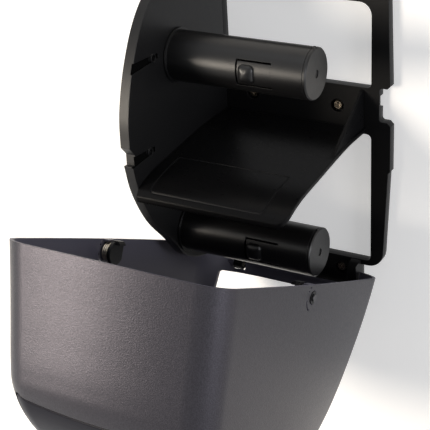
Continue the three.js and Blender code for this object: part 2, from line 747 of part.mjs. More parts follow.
// The cover's outer form as a filled block, every face moved inwards by a depth.
// Each station of the middle section is carried out to both sides, where it turns down round an arc
// to the side walls, and rows run from the arcs' ends to a flat face past the rim.
function coverBlock(depth) {
  const past = -coverRim + coverReach;
  const points = [];
  const indices = [];
  const add = (x, y, z) => points.push(x, y, z) / 3 - 1;
  const quad = (a, b, c, d) => indices.push(a, b, c, a, c, d);
  const rows = coverSection().map(({ y, z, inward, end }) => {
    const radius = coverRadiusAt(z) - depth;
    const row = [];
    for (let k = -coverArcSteps; k <= coverArcSteps; k += 1) {
      if (k === 0) continue;
      const angle = (Math.PI / 2) * ((Math.abs(k) - 1) / (coverArcSteps - 1));
      const sink = depth + radius * (1 - Math.cos(angle));
      const py = end ? past : y + inward[0] * sink;
      const pz = z + inward[1] * sink;
      const half = coverHalfWidthAt(py, pz) - depth;
      row.push([Math.sign(k) * (half - radius * (1 - Math.sin(angle))), py, pz]);
    }
    return row;
  });
  const grid = rows.map((row) => row.map((point) => add(...point)));
  for (let s = 0; s < grid.length - 1; s += 1) {
    for (let k = 0; k < grid[s].length - 1; k += 1) {
      const [a, b, c, d] = [grid[s][k], grid[s][k + 1], grid[s + 1][k + 1], grid[s + 1][k]];
      if (k < coverArcSteps) quad(a, b, c, d);
      else quad(b, c, d, a);
    }
  }
  const edges = [0, grid[0].length - 1].map((column, which) => {
    const side = which === 0 ? -1 : 1;
    const columns = [grid.map((row) => row[column])];
    for (let k = 1; k <= coverSideRows; k += 1) {
      columns.push(rows.map((row, s) => {
        if (s === 0 || s === rows.length - 1) return grid[s][column];
        const [, py, pz] = row[column];
        const y = THREE.MathUtils.lerp(py, past, k / coverSideRows);
        return add(side * (coverHalfWidthAt(y, pz) - depth), y, pz);
      }));
    }
    for (let k = 0; k < coverSideRows; k += 1) {
      for (let s = 0; s < rows.length - 1; s += 1) {
        const [a, b, c, d] = [columns[k][s], columns[k][s + 1], columns[k + 1][s + 1], columns[k + 1][s]];
        if (side < 0) quad(a, b, c, d);
        else quad(d, c, b, a);
      }
    }
    return columns.at(-1);
  });
  const loop = [...grid[0], ...edges[1].slice(1), ...grid.at(-1).slice().reverse().slice(1),
    ...edges[0].slice().reverse().slice(1, -1)];
  const hub = add(0, past, coverMiddle);
  loop.forEach((here, i) => {
    const next = loop[(i + 1) % loop.length];
    indices.push(here, hub, next);
  });
  const geometry = new THREE.BufferGeometry();
  geometry.setAttribute('position', new THREE.Float32BufferAttribute(points, 3));
  geometry.setIndex(indices);
  return solid(geometry);
}

const outerForm = coverBlock(0);

// Outer face of the side wall at a latch, and the least of its inner face over the spring
const latchCapSeat = coverHalfWidthAt(-latchForward, latchHeight);
const latchSpringSeat = coverHalfWidthAt(-latchForward - springRadius - springWire, latchHeight) - coverWall;

// Outline of the front panel, its top edge dipping in the middle
function frontPanelOutline(shrink) {
  const wide = frontPanelHalfWidth - shrink;
  const narrow = frontPanelFootHalfWidth - shrink;
  const top = frontPanelTop - shrink;
  const foot = frontPanelFoot + shrink;
  const radius = frontPanelRadius - shrink;
  const dip = frontPanelDipShares.map((share) => [share * wide, top - frontPanelDip * (1 - share * share)]);
  return outline([
    [-wide, top, radius], [-narrow, foot, radius], [narrow, foot, radius], [wide, top, radius], ...dip]);
}

function archOutline() {
  const top = smooth([[archHalfWidth, archSide], [archHalfWidth / 2, (archTop * 2 + archSide) / 3], [0, archTop],
    [-archHalfWidth / 2, (archTop * 2 + archSide) / 3], [-archHalfWidth, archSide]], roundSteps);
  return new THREE.Shape([...top, new THREE.Vector2(-archHalfWidth, archFoot), new THREE.Vector2(archHalfWidth, archFoot)]);
}

function frontOf(shape) {
  return slab(shape, 'front', -frontPanelStart, -coverDepth - overrun);
}

function frontPanel() {
  const face = coverBlock(frontPanelSink);
  const layer = face.subtract(coverBlock(frontPanelSink + frontPanelThickness));
  const arch = frontOf(archOutline()).subtract(coverBlock(frontPanelSink + archDepth));
  return layer.intersect(frontOf(frontPanelOutline(gap))).subtract(arch);
}

// Ring sector about the latch's axis, cut through a side wall
function latchSlot(side, from, sweep) {
  const shape = new THREE.Shape();
  const turn = (degrees) => THREE.MathUtils.degToRad(degrees);
  const start = turn(quarterTurn + from);
  const end = turn(quarterTurn + from + sweep);
  const outer = latchSlotRadius + latchSlotWidth / 2;
  shape.absarc(-latchForward, latchHeight, outer, start, end, false);
  shape.absarc(-latchForward, latchHeight, outer - latchSlotWidth, end, start, true);
  return slab(shape, 'side', side * latchRoofReach, side * (coverHalfWidth + overrun));
}

function alongSide(side, near, far) {
  return [Math.min(side * near, side * far), Math.max(side * near, side * far)];
}

// Guide post and roof that the moulding has by each latch
function latchMounts(side) {
  const wallMiddle = coverHalfWidth - coverWall / 2;
  const post = rod(latchPostRadius, ...alongSide(side, latchPostReach, wallMiddle), 'x',
    [0, -latchForward, latchHeight - latchPostDrop], smallRoundSteps);
  const hook = block([side * latchPostReach, side * (latchPostReach + latchHookRise)],
    [-latchForward, -latchForward + latchPostRadius + latchHookRise],
    [latchHeight - latchPostDrop - latchPostRadius / 2, latchHeight - latchPostDrop + latchPostRadius / 2]);
  const roof = block([side * latchRoofReach, side * wallMiddle], [-coverRim - latchRoofThickness, -coverRim],
    [latchHeight - latchRoofHalfWidth, latchHeight + latchRoofHalfWidth]);
  return unite([post, hook, roof]);
}

// Shaft hole, cap seat and key slots of each latch
function latchCuts(side) {
  const centre = [0, -latchForward, latchHeight];
  const past = coverHalfWidth + overrun;
  const bore = rod(latchShaftRadius + gap, ...alongSide(side, latchFace, past), 'x', centre, smallRoundSteps);
  const seat = rod(latchSeatRadius, ...alongSide(side, latchCapSeat - latchSeatDepth, past), 'x', centre);
  const dots = latchDotAngles.map((angle) => {
    const turn = THREE.MathUtils.degToRad(quarterTurn - angle);
    return rod(latchDotRadius, ...alongSide(side, latchRoofReach, past), 'x', [0,
      -latchForward + latchSlotRadius * Math.cos(turn), latchHeight + latchSlotRadius * Math.sin(turn)],
    smallRoundSteps);
  });
  return unite([bore, seat, latchSlot(side, latchSlotFrom, latchSlotSweep), ...dots]);
}

function coverShell() {
  const hinge = [0, -hingeForward, -hingeDrop];
  const innerForm = coverBlock(coverWall);
  const reach = coverHalfWidth + overrun;
  const high = coverTop + overrun;
  const low = -coverFoot - overrun;
  const behind = block([-reach, reach], [-coverRim, coverReach + overrun], [low, high]);
  const rearEdge = [[outletHalfWidth, -outletShoulder], [outletHalfWidth, -outletRear, outletRadius],
    [-outletHalfWidth, -outletRear, outletRadius], [-outletHalfWidth, -outletShoulder]];
  const frontEdge = [[-outletFrontHalfWidth, -outletFront, outletRadius],
    [outletFrontHalfWidth, -outletFront, outletRadius]];
  const outlet = slab(outline([...rearEdge, ...frontEdge]), 'floor', low, -outletTop);
  const panelSeat = frontOf(frontPanelOutline(0)).subtract(coverBlock(frontPanelSink + frontPanelThickness + gap));
  const slotOuter = hingePlateHalfWidth + running;
  const slotInner = hingePlateHalfWidth - lugWidth - running;
  const lipLow = -hingeEdge - hingeLipWidth;
  const edgeCut = block([-slotOuter, slotOuter], [-hingeEdge, overrun], [low, -hingeDrop + lugRadius + running]);
  const lugCuts = sides.map(([, side]) => block(
    [side * slotInner, side * slotOuter], [-lugSlotFront, overrun], [low, -hingeDrop + lugRadius + running]));
  const lip = coverBlock(coverWall / 2).subtract(coverBlock(coverWall + hingeLipRise))
    .intersect(block([-reach, reach], [lipLow, -hingeEdge], [low, -hingeDrop + lugRadius]));
  const ears = sides.map(([, side]) => rod(
    lugRadius, ...alongSide(side, slotOuter, slotOuter + earThickness), 'x', hinge, smallRoundSteps));
  const pinBores = sides.map(([, side]) => rod(pinRadius + gap,
    ...alongSide(side, slotInner, slotOuter + earThickness + overrun), 'x', hinge, smallRoundSteps));
  const heads = sides.map(([, side]) => rod(pinHeadRadius + running,
    ...alongSide(side, slotOuter + earThickness, slotOuter + earThickness + pinHeadThickness + running),
    'x', hinge, smallRoundSteps));
  const mounts = sides.map(([, side]) => latchMounts(side));
  return outerForm.subtract(innerForm).subtract(behind)
    .add(unite([lip, ...ears, ...mounts]))
    .subtract(unite([outlet, panelSeat, edgeCut, ...lugCuts, ...pinBores, ...heads]))
    .subtract(unite(sides.map(([, side]) => latchCuts(side))));
}

function hingePin(side) {
  const start = hingePlateHalfWidth - lugWidth;
  const shoulder = hingePlateHalfWidth + running + earThickness + gap;
  const profile = [
    [0, start], [pinRadius, start], [pinRadius, shoulder], [pinHeadRadius, shoulder],
    [pinHeadRadius, shoulder + pinHeadThickness], [0, shoulder + pinHeadThickness],
  ];
  const placed = profile.map(([radius, along]) => [radius, side * along]);
  return turned(placed, 'x', [0, -hingeForward, -hingeDrop], smallRoundSteps);
}

// Disc with one flat, a sloped tooth on its inner face and a shaft out through the side wall
function latchPlunger(side) {
  const centre = [0, -latchForward, latchHeight];
  const back = latchFace + latchDiscThickness;
  const disc = rod(latchDiscRadius, ...alongSide(side, latchFace, back), 'x', centre);
  const flat = block([side * (latchFace - overrun), side * (back + overrun)],
    [-latchForward - latchDiscRadius, -latchForward + latchDiscRadius],
    [latchHeight - latchDiscRadius - overrun, latchHeight - latchFlat]);
  const shaft = rod(latchShaftRadius, ...alongSide(side, latchFace + latchDiscThickness / 2,
    latchCapSeat - latchSeatDepth - gap), 'x', centre, smallRoundSteps);
  const tooth = slab(outline([
    [side * back, -latchToothFront],
    [side * latchToothTip, -latchToothFront],
    [side * latchToothTip, -latchToothFront + latchToothSlope / 2],
    [side * (latchToothTip + latchToothSlope), -latchToothRear],
    [side * back, -latchToothRear],
  ]), 'floor', latchHeight - latchToothWidth / 2, latchHeight + latchToothWidth / 2);
  const screwHole = rod(latchScrewRadius + gap, ...alongSide(side,
    latchCapSeat - latchSeatDepth - latchScrewLength, coverHalfWidth), 'x', centre, smallRoundSteps);
  return disc.subtract(flat).add(shaft).add(tooth).subtract(screwHole);
}

function latchCap(side) {
  const centre = [0, -latchForward, latchHeight];
  const seat = latchCapSeat - latchSeatDepth;
  return ring(latchScrewRadius + gap, latchCapRadius, ...alongSide(side, seat, seat + latchCapThickness), 'x', centre);
}

function latchScrew(side) {
  const centre = [0, -latchForward, latchHeight];
  const seat = latchCapSeat - latchSeatDepth + latchCapThickness + gap;
  const end = seat + latchScrewHeadThickness;
  const profile = [
    [0, seat - latchScrewLength + latchCapThickness], [latchScrewRadius, seat - latchScrewLength + latchCapThickness],
    [latchScrewRadius, seat], [latchScrewHeadRadius, seat], [latchScrewHeadRadius, end - gap],
    [latchScrewHeadRadius - gap, end], [0, end],
  ].map(([radius, along]) => [radius, side * along]);
  return turned(profile, 'x', centre, smallRoundSteps);
}

// Least distance between points of the wire that lie at least half a turn apart
function reportLeastGap(points, steps) {
  const corner = (i) => new THREE.Vector3(points[3 * i], points[3 * i + 1], points[3 * i + 2]);
  const count = points.length / 3;
  const apart = (springTurnSteps / 2) * springSides;
  let least = Infinity;
  for (let i = 0; i < count; i += 1) {
    for (let j = i + apart; j < count; j += 1) least = Math.min(least, corner(i).distanceTo(corner(j)));
  }
  console.log(`spring of ${steps} steps: least gap to itself ${least.toFixed(2)} mm`);
}

// One unbroken tube wound in a helix round the latch's shaft
function latchSpring(side) {
  const start = latchFace + latchDiscThickness + gap + springWire / 2;
  const end = latchSpringSeat - gap - springWire / 2;
  const steps = Math.round(springTurns * springTurnSteps);
  const spine = (share) => {
    const angle = 2 * Math.PI * springTurns * share;
    return new THREE.Vector3(side * THREE.MathUtils.lerp(start, end, share),
      -latchForward + springRadius * Math.cos(angle), latchHeight + springRadius * Math.sin(angle));
  };
  const points = [];
  const indices = [];
  for (let i = 0; i <= steps; i += 1) {
    const share = i / steps;
    const angle = 2 * Math.PI * springTurns * share;
    const middle = spine(share);
    for (let k = 0; k < springSides; k += 1) {
      const turn = (2 * Math.PI * k) / springSides;
      const out = Math.cos(turn) * springWire / 2;
      const over = Math.sin(turn) * springWire / 2;
      points.push(middle.x + over, middle.y + out * Math.cos(angle), middle.z + out * Math.sin(angle));
    }
  }
  for (let i = 0; i < steps; i += 1) {
    for (let k = 0; k < springSides; k += 1) {
      const next = (k + 1) % springSides;
      const [a, b] = [i * springSides + k, i * springSides + next];
      indices.push(a, b, b + springSides, a, b + springSides, a + springSides);
    }
  }
  for (let k = 1; k < springSides - 1; k += 1) {
    const last = steps * springSides;
    indices.push(0, k + 1, k, last, last + k, last + k + 1);
  }
  if (side > 0) reportLeastGap(points, steps);
  const geometry = new THREE.BufferGeometry();
  geometry.setAttribute('position', new THREE.Float32BufferAttribute(points, 3));
  geometry.setIndex(indices);
  return solid(geometry);
}

const dispenser = new THREE.Group();
dispenser.name = 'double_roll_dispenser';

place('back_frame', backFrame(), chassisPlastic, dispenser);
place('side_plate', sidePlate(), chassisPlastic, dispenser);
place('roll_shelf', rollShelf(), chassisPlastic, dispenser);
for (const [row, height] of [['upper', upperSpindleHeight], ['lower', lowerSpindleHeight]]) {
  place(`${row}_spindle`, spindleTube(height), spindlePlastic, dispenser);
  place(`${row}_spindle_finger`, spindleFinger(height), spindlePlastic, dispenser);
  place(`${row}_spindle_cap`, endCap(height), spindlePlastic, dispenser);
}
for (const [[name], spot] of sides.map((entry, i) => [entry, crossScrews[i]])) {
  place(`cross_wall_screw_${name}`, wallScrew(spot), screwSteel, dispenser);
}
for (const [[name], spot] of sides.map((entry, i) => [entry, footScrews[i]])) {
  place(`foot_wall_screw_${name}`, wallScrew(spot), screwSteel, dispenser);
}
for (const [name, side] of sides) {
  place(`hinge_pin_${name}`, hingePin(side), screwSteel, dispenser);
}

// The cover turns down about the hinge line
const hinge = new THREE.Group();
hinge.position.set(0, -hingeForward, -hingeDrop);
hinge.rotation.x = THREE.MathUtils.degToRad(openAngle);
const cover = new THREE.Group();
cover.position.set(0, hingeForward, hingeDrop);
hinge.add(cover);
dispenser.add(hinge);

place('cover_shell', coverShell(), coverPlastic, cover);
place('front_panel', frontPanel(), panelPlastic, cover);
for (const [name, side] of sides) {
  place(`latch_plunger_${name}`, latchPlunger(side), latchPlastic, cover);
  place(`latch_spring_${name}`, latchSpring(side), springSteel, cover);
  place(`latch_cap_${name}`, latchCap(side), latchPlastic, cover);
  place(`latch_screw_${name}`, latchScrew(side), screwSteel, cover);
}

export default dispenser;
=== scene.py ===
"""Looks of a double roll toilet paper dispenser, shown with its cover swung down for refilling.

Metres, +Z up, wall plane y = 0, front towards -Y. Pieces of the cover are modelled closed, as they
are moulded, and then turned about the hinge line into the open pose of the frame.
"""

import math
from functools import partial

import bmesh
import bpy
import numpy as np
from mathutils import Matrix, Vector
from mathutils.geometry import tessellate_polygon


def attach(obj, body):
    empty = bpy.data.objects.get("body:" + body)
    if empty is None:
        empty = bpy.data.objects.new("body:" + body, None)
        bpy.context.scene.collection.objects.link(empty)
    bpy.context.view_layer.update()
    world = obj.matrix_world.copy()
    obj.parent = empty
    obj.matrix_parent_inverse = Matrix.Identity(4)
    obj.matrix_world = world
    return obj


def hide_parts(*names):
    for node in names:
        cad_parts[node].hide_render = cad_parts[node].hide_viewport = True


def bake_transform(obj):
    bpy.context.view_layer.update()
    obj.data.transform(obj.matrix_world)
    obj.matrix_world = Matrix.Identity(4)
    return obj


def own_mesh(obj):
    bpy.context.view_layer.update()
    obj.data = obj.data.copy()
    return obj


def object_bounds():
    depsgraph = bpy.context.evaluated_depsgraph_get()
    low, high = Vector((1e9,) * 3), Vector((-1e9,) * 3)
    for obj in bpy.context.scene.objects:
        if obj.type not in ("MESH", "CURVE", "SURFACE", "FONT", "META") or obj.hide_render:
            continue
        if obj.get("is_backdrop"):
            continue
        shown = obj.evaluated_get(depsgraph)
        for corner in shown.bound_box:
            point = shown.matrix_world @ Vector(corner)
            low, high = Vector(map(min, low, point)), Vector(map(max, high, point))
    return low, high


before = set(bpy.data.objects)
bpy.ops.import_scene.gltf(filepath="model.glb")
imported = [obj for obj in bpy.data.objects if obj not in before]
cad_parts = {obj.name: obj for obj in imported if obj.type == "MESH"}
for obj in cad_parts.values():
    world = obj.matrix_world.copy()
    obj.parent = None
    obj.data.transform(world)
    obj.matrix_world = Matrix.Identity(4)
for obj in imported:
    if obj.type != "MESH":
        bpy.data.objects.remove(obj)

bl_info = {
    "name": "Double roll dispenser",
    "version": (1, 0, 0),
    "blender": (4, 5, 0),
    "location": "3D View > Sidebar > Dispenser",
    "description": "Builds the looks of a wall dispenser for two toilet rolls",
    "category": "Object",
}

# Hinge line of the cover and how far the cover stands open
HINGE = np.array([0.0, -0.017, -0.1584])
OPEN_ANGLE = math.radians(63.54)

# Steps between two points of a curve, play between pieces, and how far a cut runs past them
CURVE_STEPS = 14
FIT_GAP = 0.0003
OVERRUN = 0.004

# Cover form, closed. Its shares are places (depth, height) on its middle section
COVER_DEPTH = 0.1609
COVER_TOP = 0.1395
COVER_FOOT = 0.1664
COVER_RIM = 0.0025
COVER_WALL = 0.0025
COVER_REACH = 0.012
COVER_HALF_WIDTH = 0.089
COVER_BULGE = 0.005
COVER_BULGE_SPAN = 0.130
COVER_MIDDLE = 0.010
COVER_DRAFT = 0.0096
COVER_CHIN = 0.024
COVER_TOP_RADIUS = 0.020
COVER_FOOT_RADIUS = 0.042
COVER_SHARES = (
    (0.0155, 0), (0.124, 0.0007), (0.311, 0.008), (0.509, 0.031), (0.677, 0.07), (0.814, 0.132),
    (0.907, 0.217), (0.96, 0.315), (0.991, 0.43), (1, 0.57), (0.972, 0.685), (0.887, 0.791),
    (0.752, 0.882), (0.632, 0.928), (0.547, 0.9415), (0.373, 0.96), (0.186, 0.98), (0.0155, 1),
)
STATIONS_PER_SHARE = 8
CORNER_STEPS = 12
SIDE_ROWS = 5

# Paper outlet, hinge edge and ears in the cover's foot
OUTLET_HALF_WIDTH = 0.0683
OUTLET_FRONT_HALF_WIDTH = 0.052
OUTLET_REAR = 0.0255
OUTLET_SHOULDER = 0.042
OUTLET_FRONT = 0.084
OUTLET_RADIUS = 0.0025
OUTLET_TOP = 0.100
HINGE_EDGE = 0.0155
HINGE_LIP = 0.002
LUG_OUTER = 0.0586
LUG_INNER = 0.0494
LUG_SLOT_FRONT = 0.0222
EAR_RADIUS = 0.0048
EAR_THICKNESS = 0.003
PIN_BORE = 0.0023
PIN_HEAD_BORE = 0.004
PIN_HEAD_DEPTH = 0.002

# Front panel and the arch pressed into it
PANEL_HALF_WIDTH = 0.0712
PANEL_FOOT_HALF_WIDTH = 0.062
PANEL_TOP = 0.1154
PANEL_DIP = 0.004
PANEL_DIP_SHARE = 0.8
PANEL_DIP_POINTS = 17
PANEL_FOOT = -0.052
PANEL_RADIUS = 0.006
PANEL_SINK = 0.0003
PANEL_GAP = 0.0006
PANEL_TOP_GAP = 0.0018
PANEL_THICKNESS = 0.0011
PANEL_START = 0.088
ARCH_HALF_WIDTH = 0.060
ARCH_TOP = 0.105
ARCH_SIDE = 0.086
ARCH_FOOT = -0.038
ARCH_DEPTH = 0.0007
ARCH_STEPS = 10

# Latches in the side walls
LATCH_FORWARD = 0.0115
LATCH_HEIGHT = 0.008
LATCH_BORE = 0.0033
LATCH_SEAT_RADIUS = 0.0052
LATCH_SEAT_DEPTH = 0.0012
LATCH_SLOT_RADIUS = 0.0096
LATCH_SLOT_WIDTH = 0.0014
LATCH_SLOT_FROM = math.radians(10)
LATCH_SLOT_SWEEP = math.radians(62)
LATCH_SLOT_POINTS = 16
LATCH_DOT_RADIUS = 0.0009
LATCH_DOT_STEPS = 16
LATCH_DOT_ANGLES = (math.radians(-28), math.radians(-48))
LATCH_POST_DROP = 0.0135
LATCH_POST_RADIUS = 0.0022
LATCH_POST_REACH = 0.0805
LATCH_HOOK_RISE = 0.0012
LATCH_ROOF_REACH = 0.0816
LATCH_ROOF_HALF_WIDTH = 0.005
LATCH_ROOF_THICKNESS = 0.0014
SPRING_WIRE = 0.0011
SPRING_RADIUS = 0.00675
SPRING_TURNS = 3.5
SPRING_START = 0.0786
SPRING_STEPS = 28
SPRING_SIDES = 12
SPRING_SHARP = math.radians(60)

# Side plate and the keeper channels in it. Its shares are places (depth, height) on its edge
PLATE_FACE = 0.0626
PLATE_SKIN = 0.0025
PLATE_DEPTH = 0.152
PLATE_TOP = 0.131
PLATE_FOOT = 0.139
PLATE_REAR = 0.0083
FLANGE_WIDTH = 0.008
PLATE_UPPER_SHARES = (
    (0.393, 0.924), (0.641, 0.842), (0.786, 0.708), (0.912, 0.468), (0.986, 0.208), (1, 0.026))
PLATE_STEP_SHARES = ((0.962, 0.025), (0.965, 0.088), (0.989, 0.085))
PLATE_LOWER_SHARES = ((0.953, 0.253), (0.852, 0.475), (0.694, 0.682), (0.577, 0.837), (0.416, 0.926))
KEEPERS = ((0.1057, 0.0602), (0.1198, -0.0087))
KEEPER_DEPTH = 0.0012
KEEPER_MOUTH = 0.009
KEEPER_END = 0.004
KEEPER_RING_RADIUS = 0.0034
KEEPER_RING_WALL = 0.001
KEEPER_RING_HEIGHT = 0.0009
KEEPER_RING_PLACE = 0.007

# Shelf between the rolls. Its shares are places (depth, drop) on its upper face
SHELF_DEPTH = 0.1505
SHELF_REAR = 0.0151
SHELF_DROP = 0.020
SHELF_REACH = 0.062
SHELF_THICKNESS = 0.003
SHELF_CORNER_RADIUS = 0.009
SHELF_SHARES = ((0, 0.02), (0.267, 0), (0.613, 0.25), (0.847, 0.47), (0.967, 0.76), (1, 1), (1.04, 1.32))
GUSSET_REACH = 0.0606
GUSSET_THICKNESS = 0.0025
GUSSET_TOP = 0.017
GUSSET_RUN = 0.065
GUSSET_ROOT_RADIUS = 0.006
GROOVE_LEFT = 0.0524
GROOVE_RIGHT = 0.0418
GROOVE_NEAR = 0.1023
GROOVE_FAR = 0.147
GROOVE_WIDTH = 0.0008
GROOVE_DEPTH = 0.0005
GROOVE_RADIUS = 0.003

# Roll spindles, their fingers and caps
SPINDLES = (("upper", 0.0523), ("lower", -0.0933))
SPINDLE_FORWARD = 0.0785
SPINDLE_RADIUS = 0.0195
SPINDLE_WALL = 0.0025
CAP_SEAT = 0.0513
COLLAR_RADIUS = 0.0212
COLLAR_THICKNESS = 0.0015
SPIGOT_RADIUS = 0.0155
SPIGOT_WALL = 0.0025
SPIGOT_STEPS = 96
BARB_RISE = 0.0008
BARB_LENGTH = 0.0016
CAP_THICKNESS = 0.0025
CAP_BEVEL = 0.0009
CAP_SKIRT = 0.006
CAP_HUB = 0.003
CAP_HUB_DEPTH = 0.0008
CAP_KEY_WIDTH = 0.0032
CAP_KEY_RISE = 0.0009
FINGER_FREE = -0.0024
FINGER_ROOT = 0.026
FINGER_HALF_WIDTH = 0.0086
FINGER_SLOT = 0.0013
FINGER_THICKNESS = 0.0022
BUMP_LENGTH = 0.0124
BUMP_WIDTH = 0.0134
BUMP_RISE = 0.0036
BUMP_INSET = 0.0012
BUMP_SQUARENESS = 4
BUMP_STEPS = 64
BUMP_RINGS = 14

# Colours of the small pieces, the painted shade in the panel's seat and the keeper channels, and the painted
# highlight in the shelf's groove
PANEL_SEAT_PAINTED_SHADE = (0.004, 0.004, 0.005)
KEEPER_PAINTED_SHADE = (0.002, 0.002, 0.002)
GROOVE_PAINTED_HIGHLIGHT = (0.022, 0.022, 0.023)
LATCH_BLACK = (0.006, 0.006, 0.007)
LATCH_SCREW_GREY = (0.08, 0.08, 0.085)
SCREW_STEEL = (0.26, 0.22, 0.17)
SPRING_STEEL = (0.74, 0.67, 0.56)

# How the finishes differ from the settings of cover and frame
INSIDE_ROUGHNESS_MORE = 0.06
PLATE_SHEEN_SHARE = 2.0
SHELF_ROUGHNESS_SHARE = 0.7
SHELF_SHEEN_SHARE = 0.5
SPINDLE_ROUGHNESS_LESS = 0.08
SPINDLE_SHEEN_SHARE = 2.4

# Noise in plastic: (waves per metre, detail), share in roughness, depth and strength of the relief
DRIFT_NOISE = (14.0, 2.0)
DRIFT_STOPS = (0.3, 0.7)
FINE_NOISE = (420.0, 3.0)
FINE_ROUGHNESS = 0.12
FINE_DEPTH = 0.00004
FINE_STRENGTH = 0.08

# Moulded grain: noise (waves per pebble, detail), its share in height, and the depth in pebble widths
SPECKLE_NOISE = (0.8, 1.0)
SPECKLE_HEIGHT = 0.8
# Stops of the painted shade that darkens the grain's pits
PIT_SHADE_STOPS = (0.38, 0.62)
PEBBLE_DEPTH = 0.22

# Turning marks in metal, as in plastic, and how much they darken it
TURNING_NOISE = (900.0, 3.0)
TURNING_STOPS = (0.2, 0.8)
TURNING_ROUGHNESS = 0.15
TURNING_DEPTH = 0.00002
TURNING_STRENGTH = 0.3
TURNING_TINT = 0.9

# Rays by which an edge is lit as if rounded
EDGE_SAMPLES = 4

# Lamps: name, place, width, setting of its power and share of it, colour
WARM = (1.0, 0.90, 0.77)
COOL = (0.94, 0.95, 1.0)
LAMPS = (
    ("key", (-1.10, -1.38, 0.06), 0.75, "key", 1.0, WARM),
    ("fill_right", (1.5, -0.42, 0.05), 0.7, "fill", 2.6, COOL),
    ("top", (-0.2, -0.6, 1.5), 1.0, "fill", 0.5, COOL),
)
LAMP_TARGET = (0, -0.12, -0.08)

# Floor and wall: how far they reach, how pale they are, the floor's share of the backdrop's
# brightness, and the nearness at which a face doesn't mirror the wall
GROUND_REACH = 6.0
FLOOR_SHADE = 0.3
WALL_SHADE = 0.8
FLOOR_GLOW_SHARE = 2.0
WALL_NEAR = 0.005

# Camera of the photograph, for a frame of 430 by 430
CAMERA_PLACE = (0.38016, -0.76496, 0.32129)
CAMERA_AZIMUTH = math.radians(26.48)
CAMERA_ELEVATION = math.radians(26.675)
CAMERA_ROLL = math.radians(-1.524)
CAMERA_FOCUS = 93.31
CAMERA_SENSOR = 36.0
CAMERA_SHIFT = -0.2

SIDES = (("left", -1), ("right", 1))

# Points nearer than WELD are one point, faces that turn less than FLAT_ANGLE are one flat face, and
# shading breaks at edges sharper than SHARP_ANGLE
WELD = 0.000003
FLAT_ANGLE = math.radians(0.4)
SHARP_ANGLE = math.radians(32)


# Curves and outlines


def smooth(points, steps):
    """Centripetal Catmull-Rom curve through the points, with so many steps between each two of them."""
    p = np.asarray(points, float)
    p = np.vstack([2 * p[0] - p[1], p, 2 * p[-1] - p[-2]])
    t = np.linspace(0, 1, steps, endpoint=False)[:, None]
    runs = []
    for a, b, c, d in zip(p, p[1:], p[2:], p[3:]):
        u, v, w = (math.sqrt(np.linalg.norm(q - r)) for q, r in ((b, a), (c, b), (d, c)))
        m = v * ((b - a) / u - (c - a) / (u + v) + (c - b) / v)
        n = v * ((c - b) / v - (d - b) / (v + w) + (d - c) / w)
        cubic = 2 * b - 2 * c + m + n
        square = -3 * b + 3 * c - 2 * m - n
        runs.append(cubic * t**3 + square * t**2 + m * t + b)
    return np.vstack([*runs, p[-2:-1]])


def rounded(corners, steps=8):
    """Closed outline through corners (across, up, radius): each is replaced by the arc of its radius
    that touches both of its edges."""
    runs = []
    for before, corner, after in zip(corners[-1:] + corners[:-1], corners, corners[1:] + corners[:1]):
        here = np.array(corner[:2], float)
        radius = corner[2] if len(corner) > 2 else 0
        if not radius:
            runs.append(here)
            continue
        back, ahead = np.array(before[:2]) - here, np.array(after[:2]) - here
        back, ahead = back / np.linalg.norm(back), ahead / np.linalg.norm(ahead)
        half = math.acos(np.clip(back @ ahead, -1, 1)) / 2
        middle = (back + ahead) / np.linalg.norm(back + ahead)
        centre = here + middle * radius / math.sin(half)
        start = here + back * radius / math.tan(half) - centre
        end = here + ahead * radius / math.tan(half) - centre
        a = math.atan2(start[1], start[0])
        sweep = math.atan2(end[1], end[0]) - a
        sweep = (sweep + math.pi) % (2 * math.pi) - math.pi
        turn = a + sweep * np.arange(steps + 1) / steps
        runs.append(centre + radius * np.column_stack([np.cos(turn), np.sin(turn)]))
    return np.vstack(runs)


def inset(path, distance):
    """Closed outline moved inwards by a distance, corner by corner."""
    path = path[np.linalg.norm(path - np.roll(path, 1, axis=0), axis=1) > WELD]
    ahead = np.roll(path, -1, axis=0) - path
    ahead /= np.linalg.norm(ahead, axis=1)[:, None]
    turn = np.sign(np.sum(path[:, 0] * np.roll(path[:, 1], -1) - path[:, 1] * np.roll(path[:, 0], -1)))
    after = np.column_stack([-ahead[:, 1], ahead[:, 0]]) * turn
    before = np.roll(after, 1, axis=0)
    return path + distance * (before + after) / (1 + np.sum(before * after, axis=1))[:, None]


def circle(radius, centre, steps):
    """Outline of a circle about a centre (y, z)."""
    turn = np.linspace(0, 2 * math.pi, steps, endpoint=False)
    return np.column_stack([centre[0] + radius * np.cos(turn), centre[1] + radius * np.sin(turn)])


# Meshes


def grid(rows, width, round_rows=False, round_width=False):
    """Quads between points on a grid of rows, each so many points wide. A round way joins its end to
    its start."""
    here = np.arange(rows * width).reshape(rows, width)
    ahead = np.roll(here, -1, axis=0)
    quads = np.stack([here, np.roll(here, -1, axis=1), np.roll(ahead, -1, axis=1), ahead], axis=-1)
    return quads[:rows if round_rows else -1, :width if round_width else -1].reshape(-1, 4).tolist()


def fan(hub, rim):
    """Triangles from a hub to each edge of a closed rim."""
    return [(hub, a, b) for a, b in zip(rim, rim[1:] + rim[:1])]


def added(name, data):
    """Object of a mesh, lamp or camera, linked to the scene."""
    thing = bpy.data.objects.new(name, data)
    bpy.context.scene.collection.objects.link(thing)
    return thing


def made(name, points, faces, material):
    """Mesh object of points and faces, welded and facing outwards."""
    mesh = bpy.data.meshes.new(name)
    mesh.from_pydata(np.asarray(points).tolist(), [], faces)
    piece = added(name, mesh)
    form = bmesh.new()
    form.from_mesh(mesh)
    bmesh.ops.remove_doubles(form, verts=form.verts, dist=WELD)
    bmesh.ops.recalc_face_normals(form, faces=form.faces)
    if form.calc_volume(signed=True) < 0:
        bmesh.ops.reverse_faces(form, faces=form.faces)
    form.to_mesh(mesh)
    form.free()
    mesh.materials.append(material)
    return piece


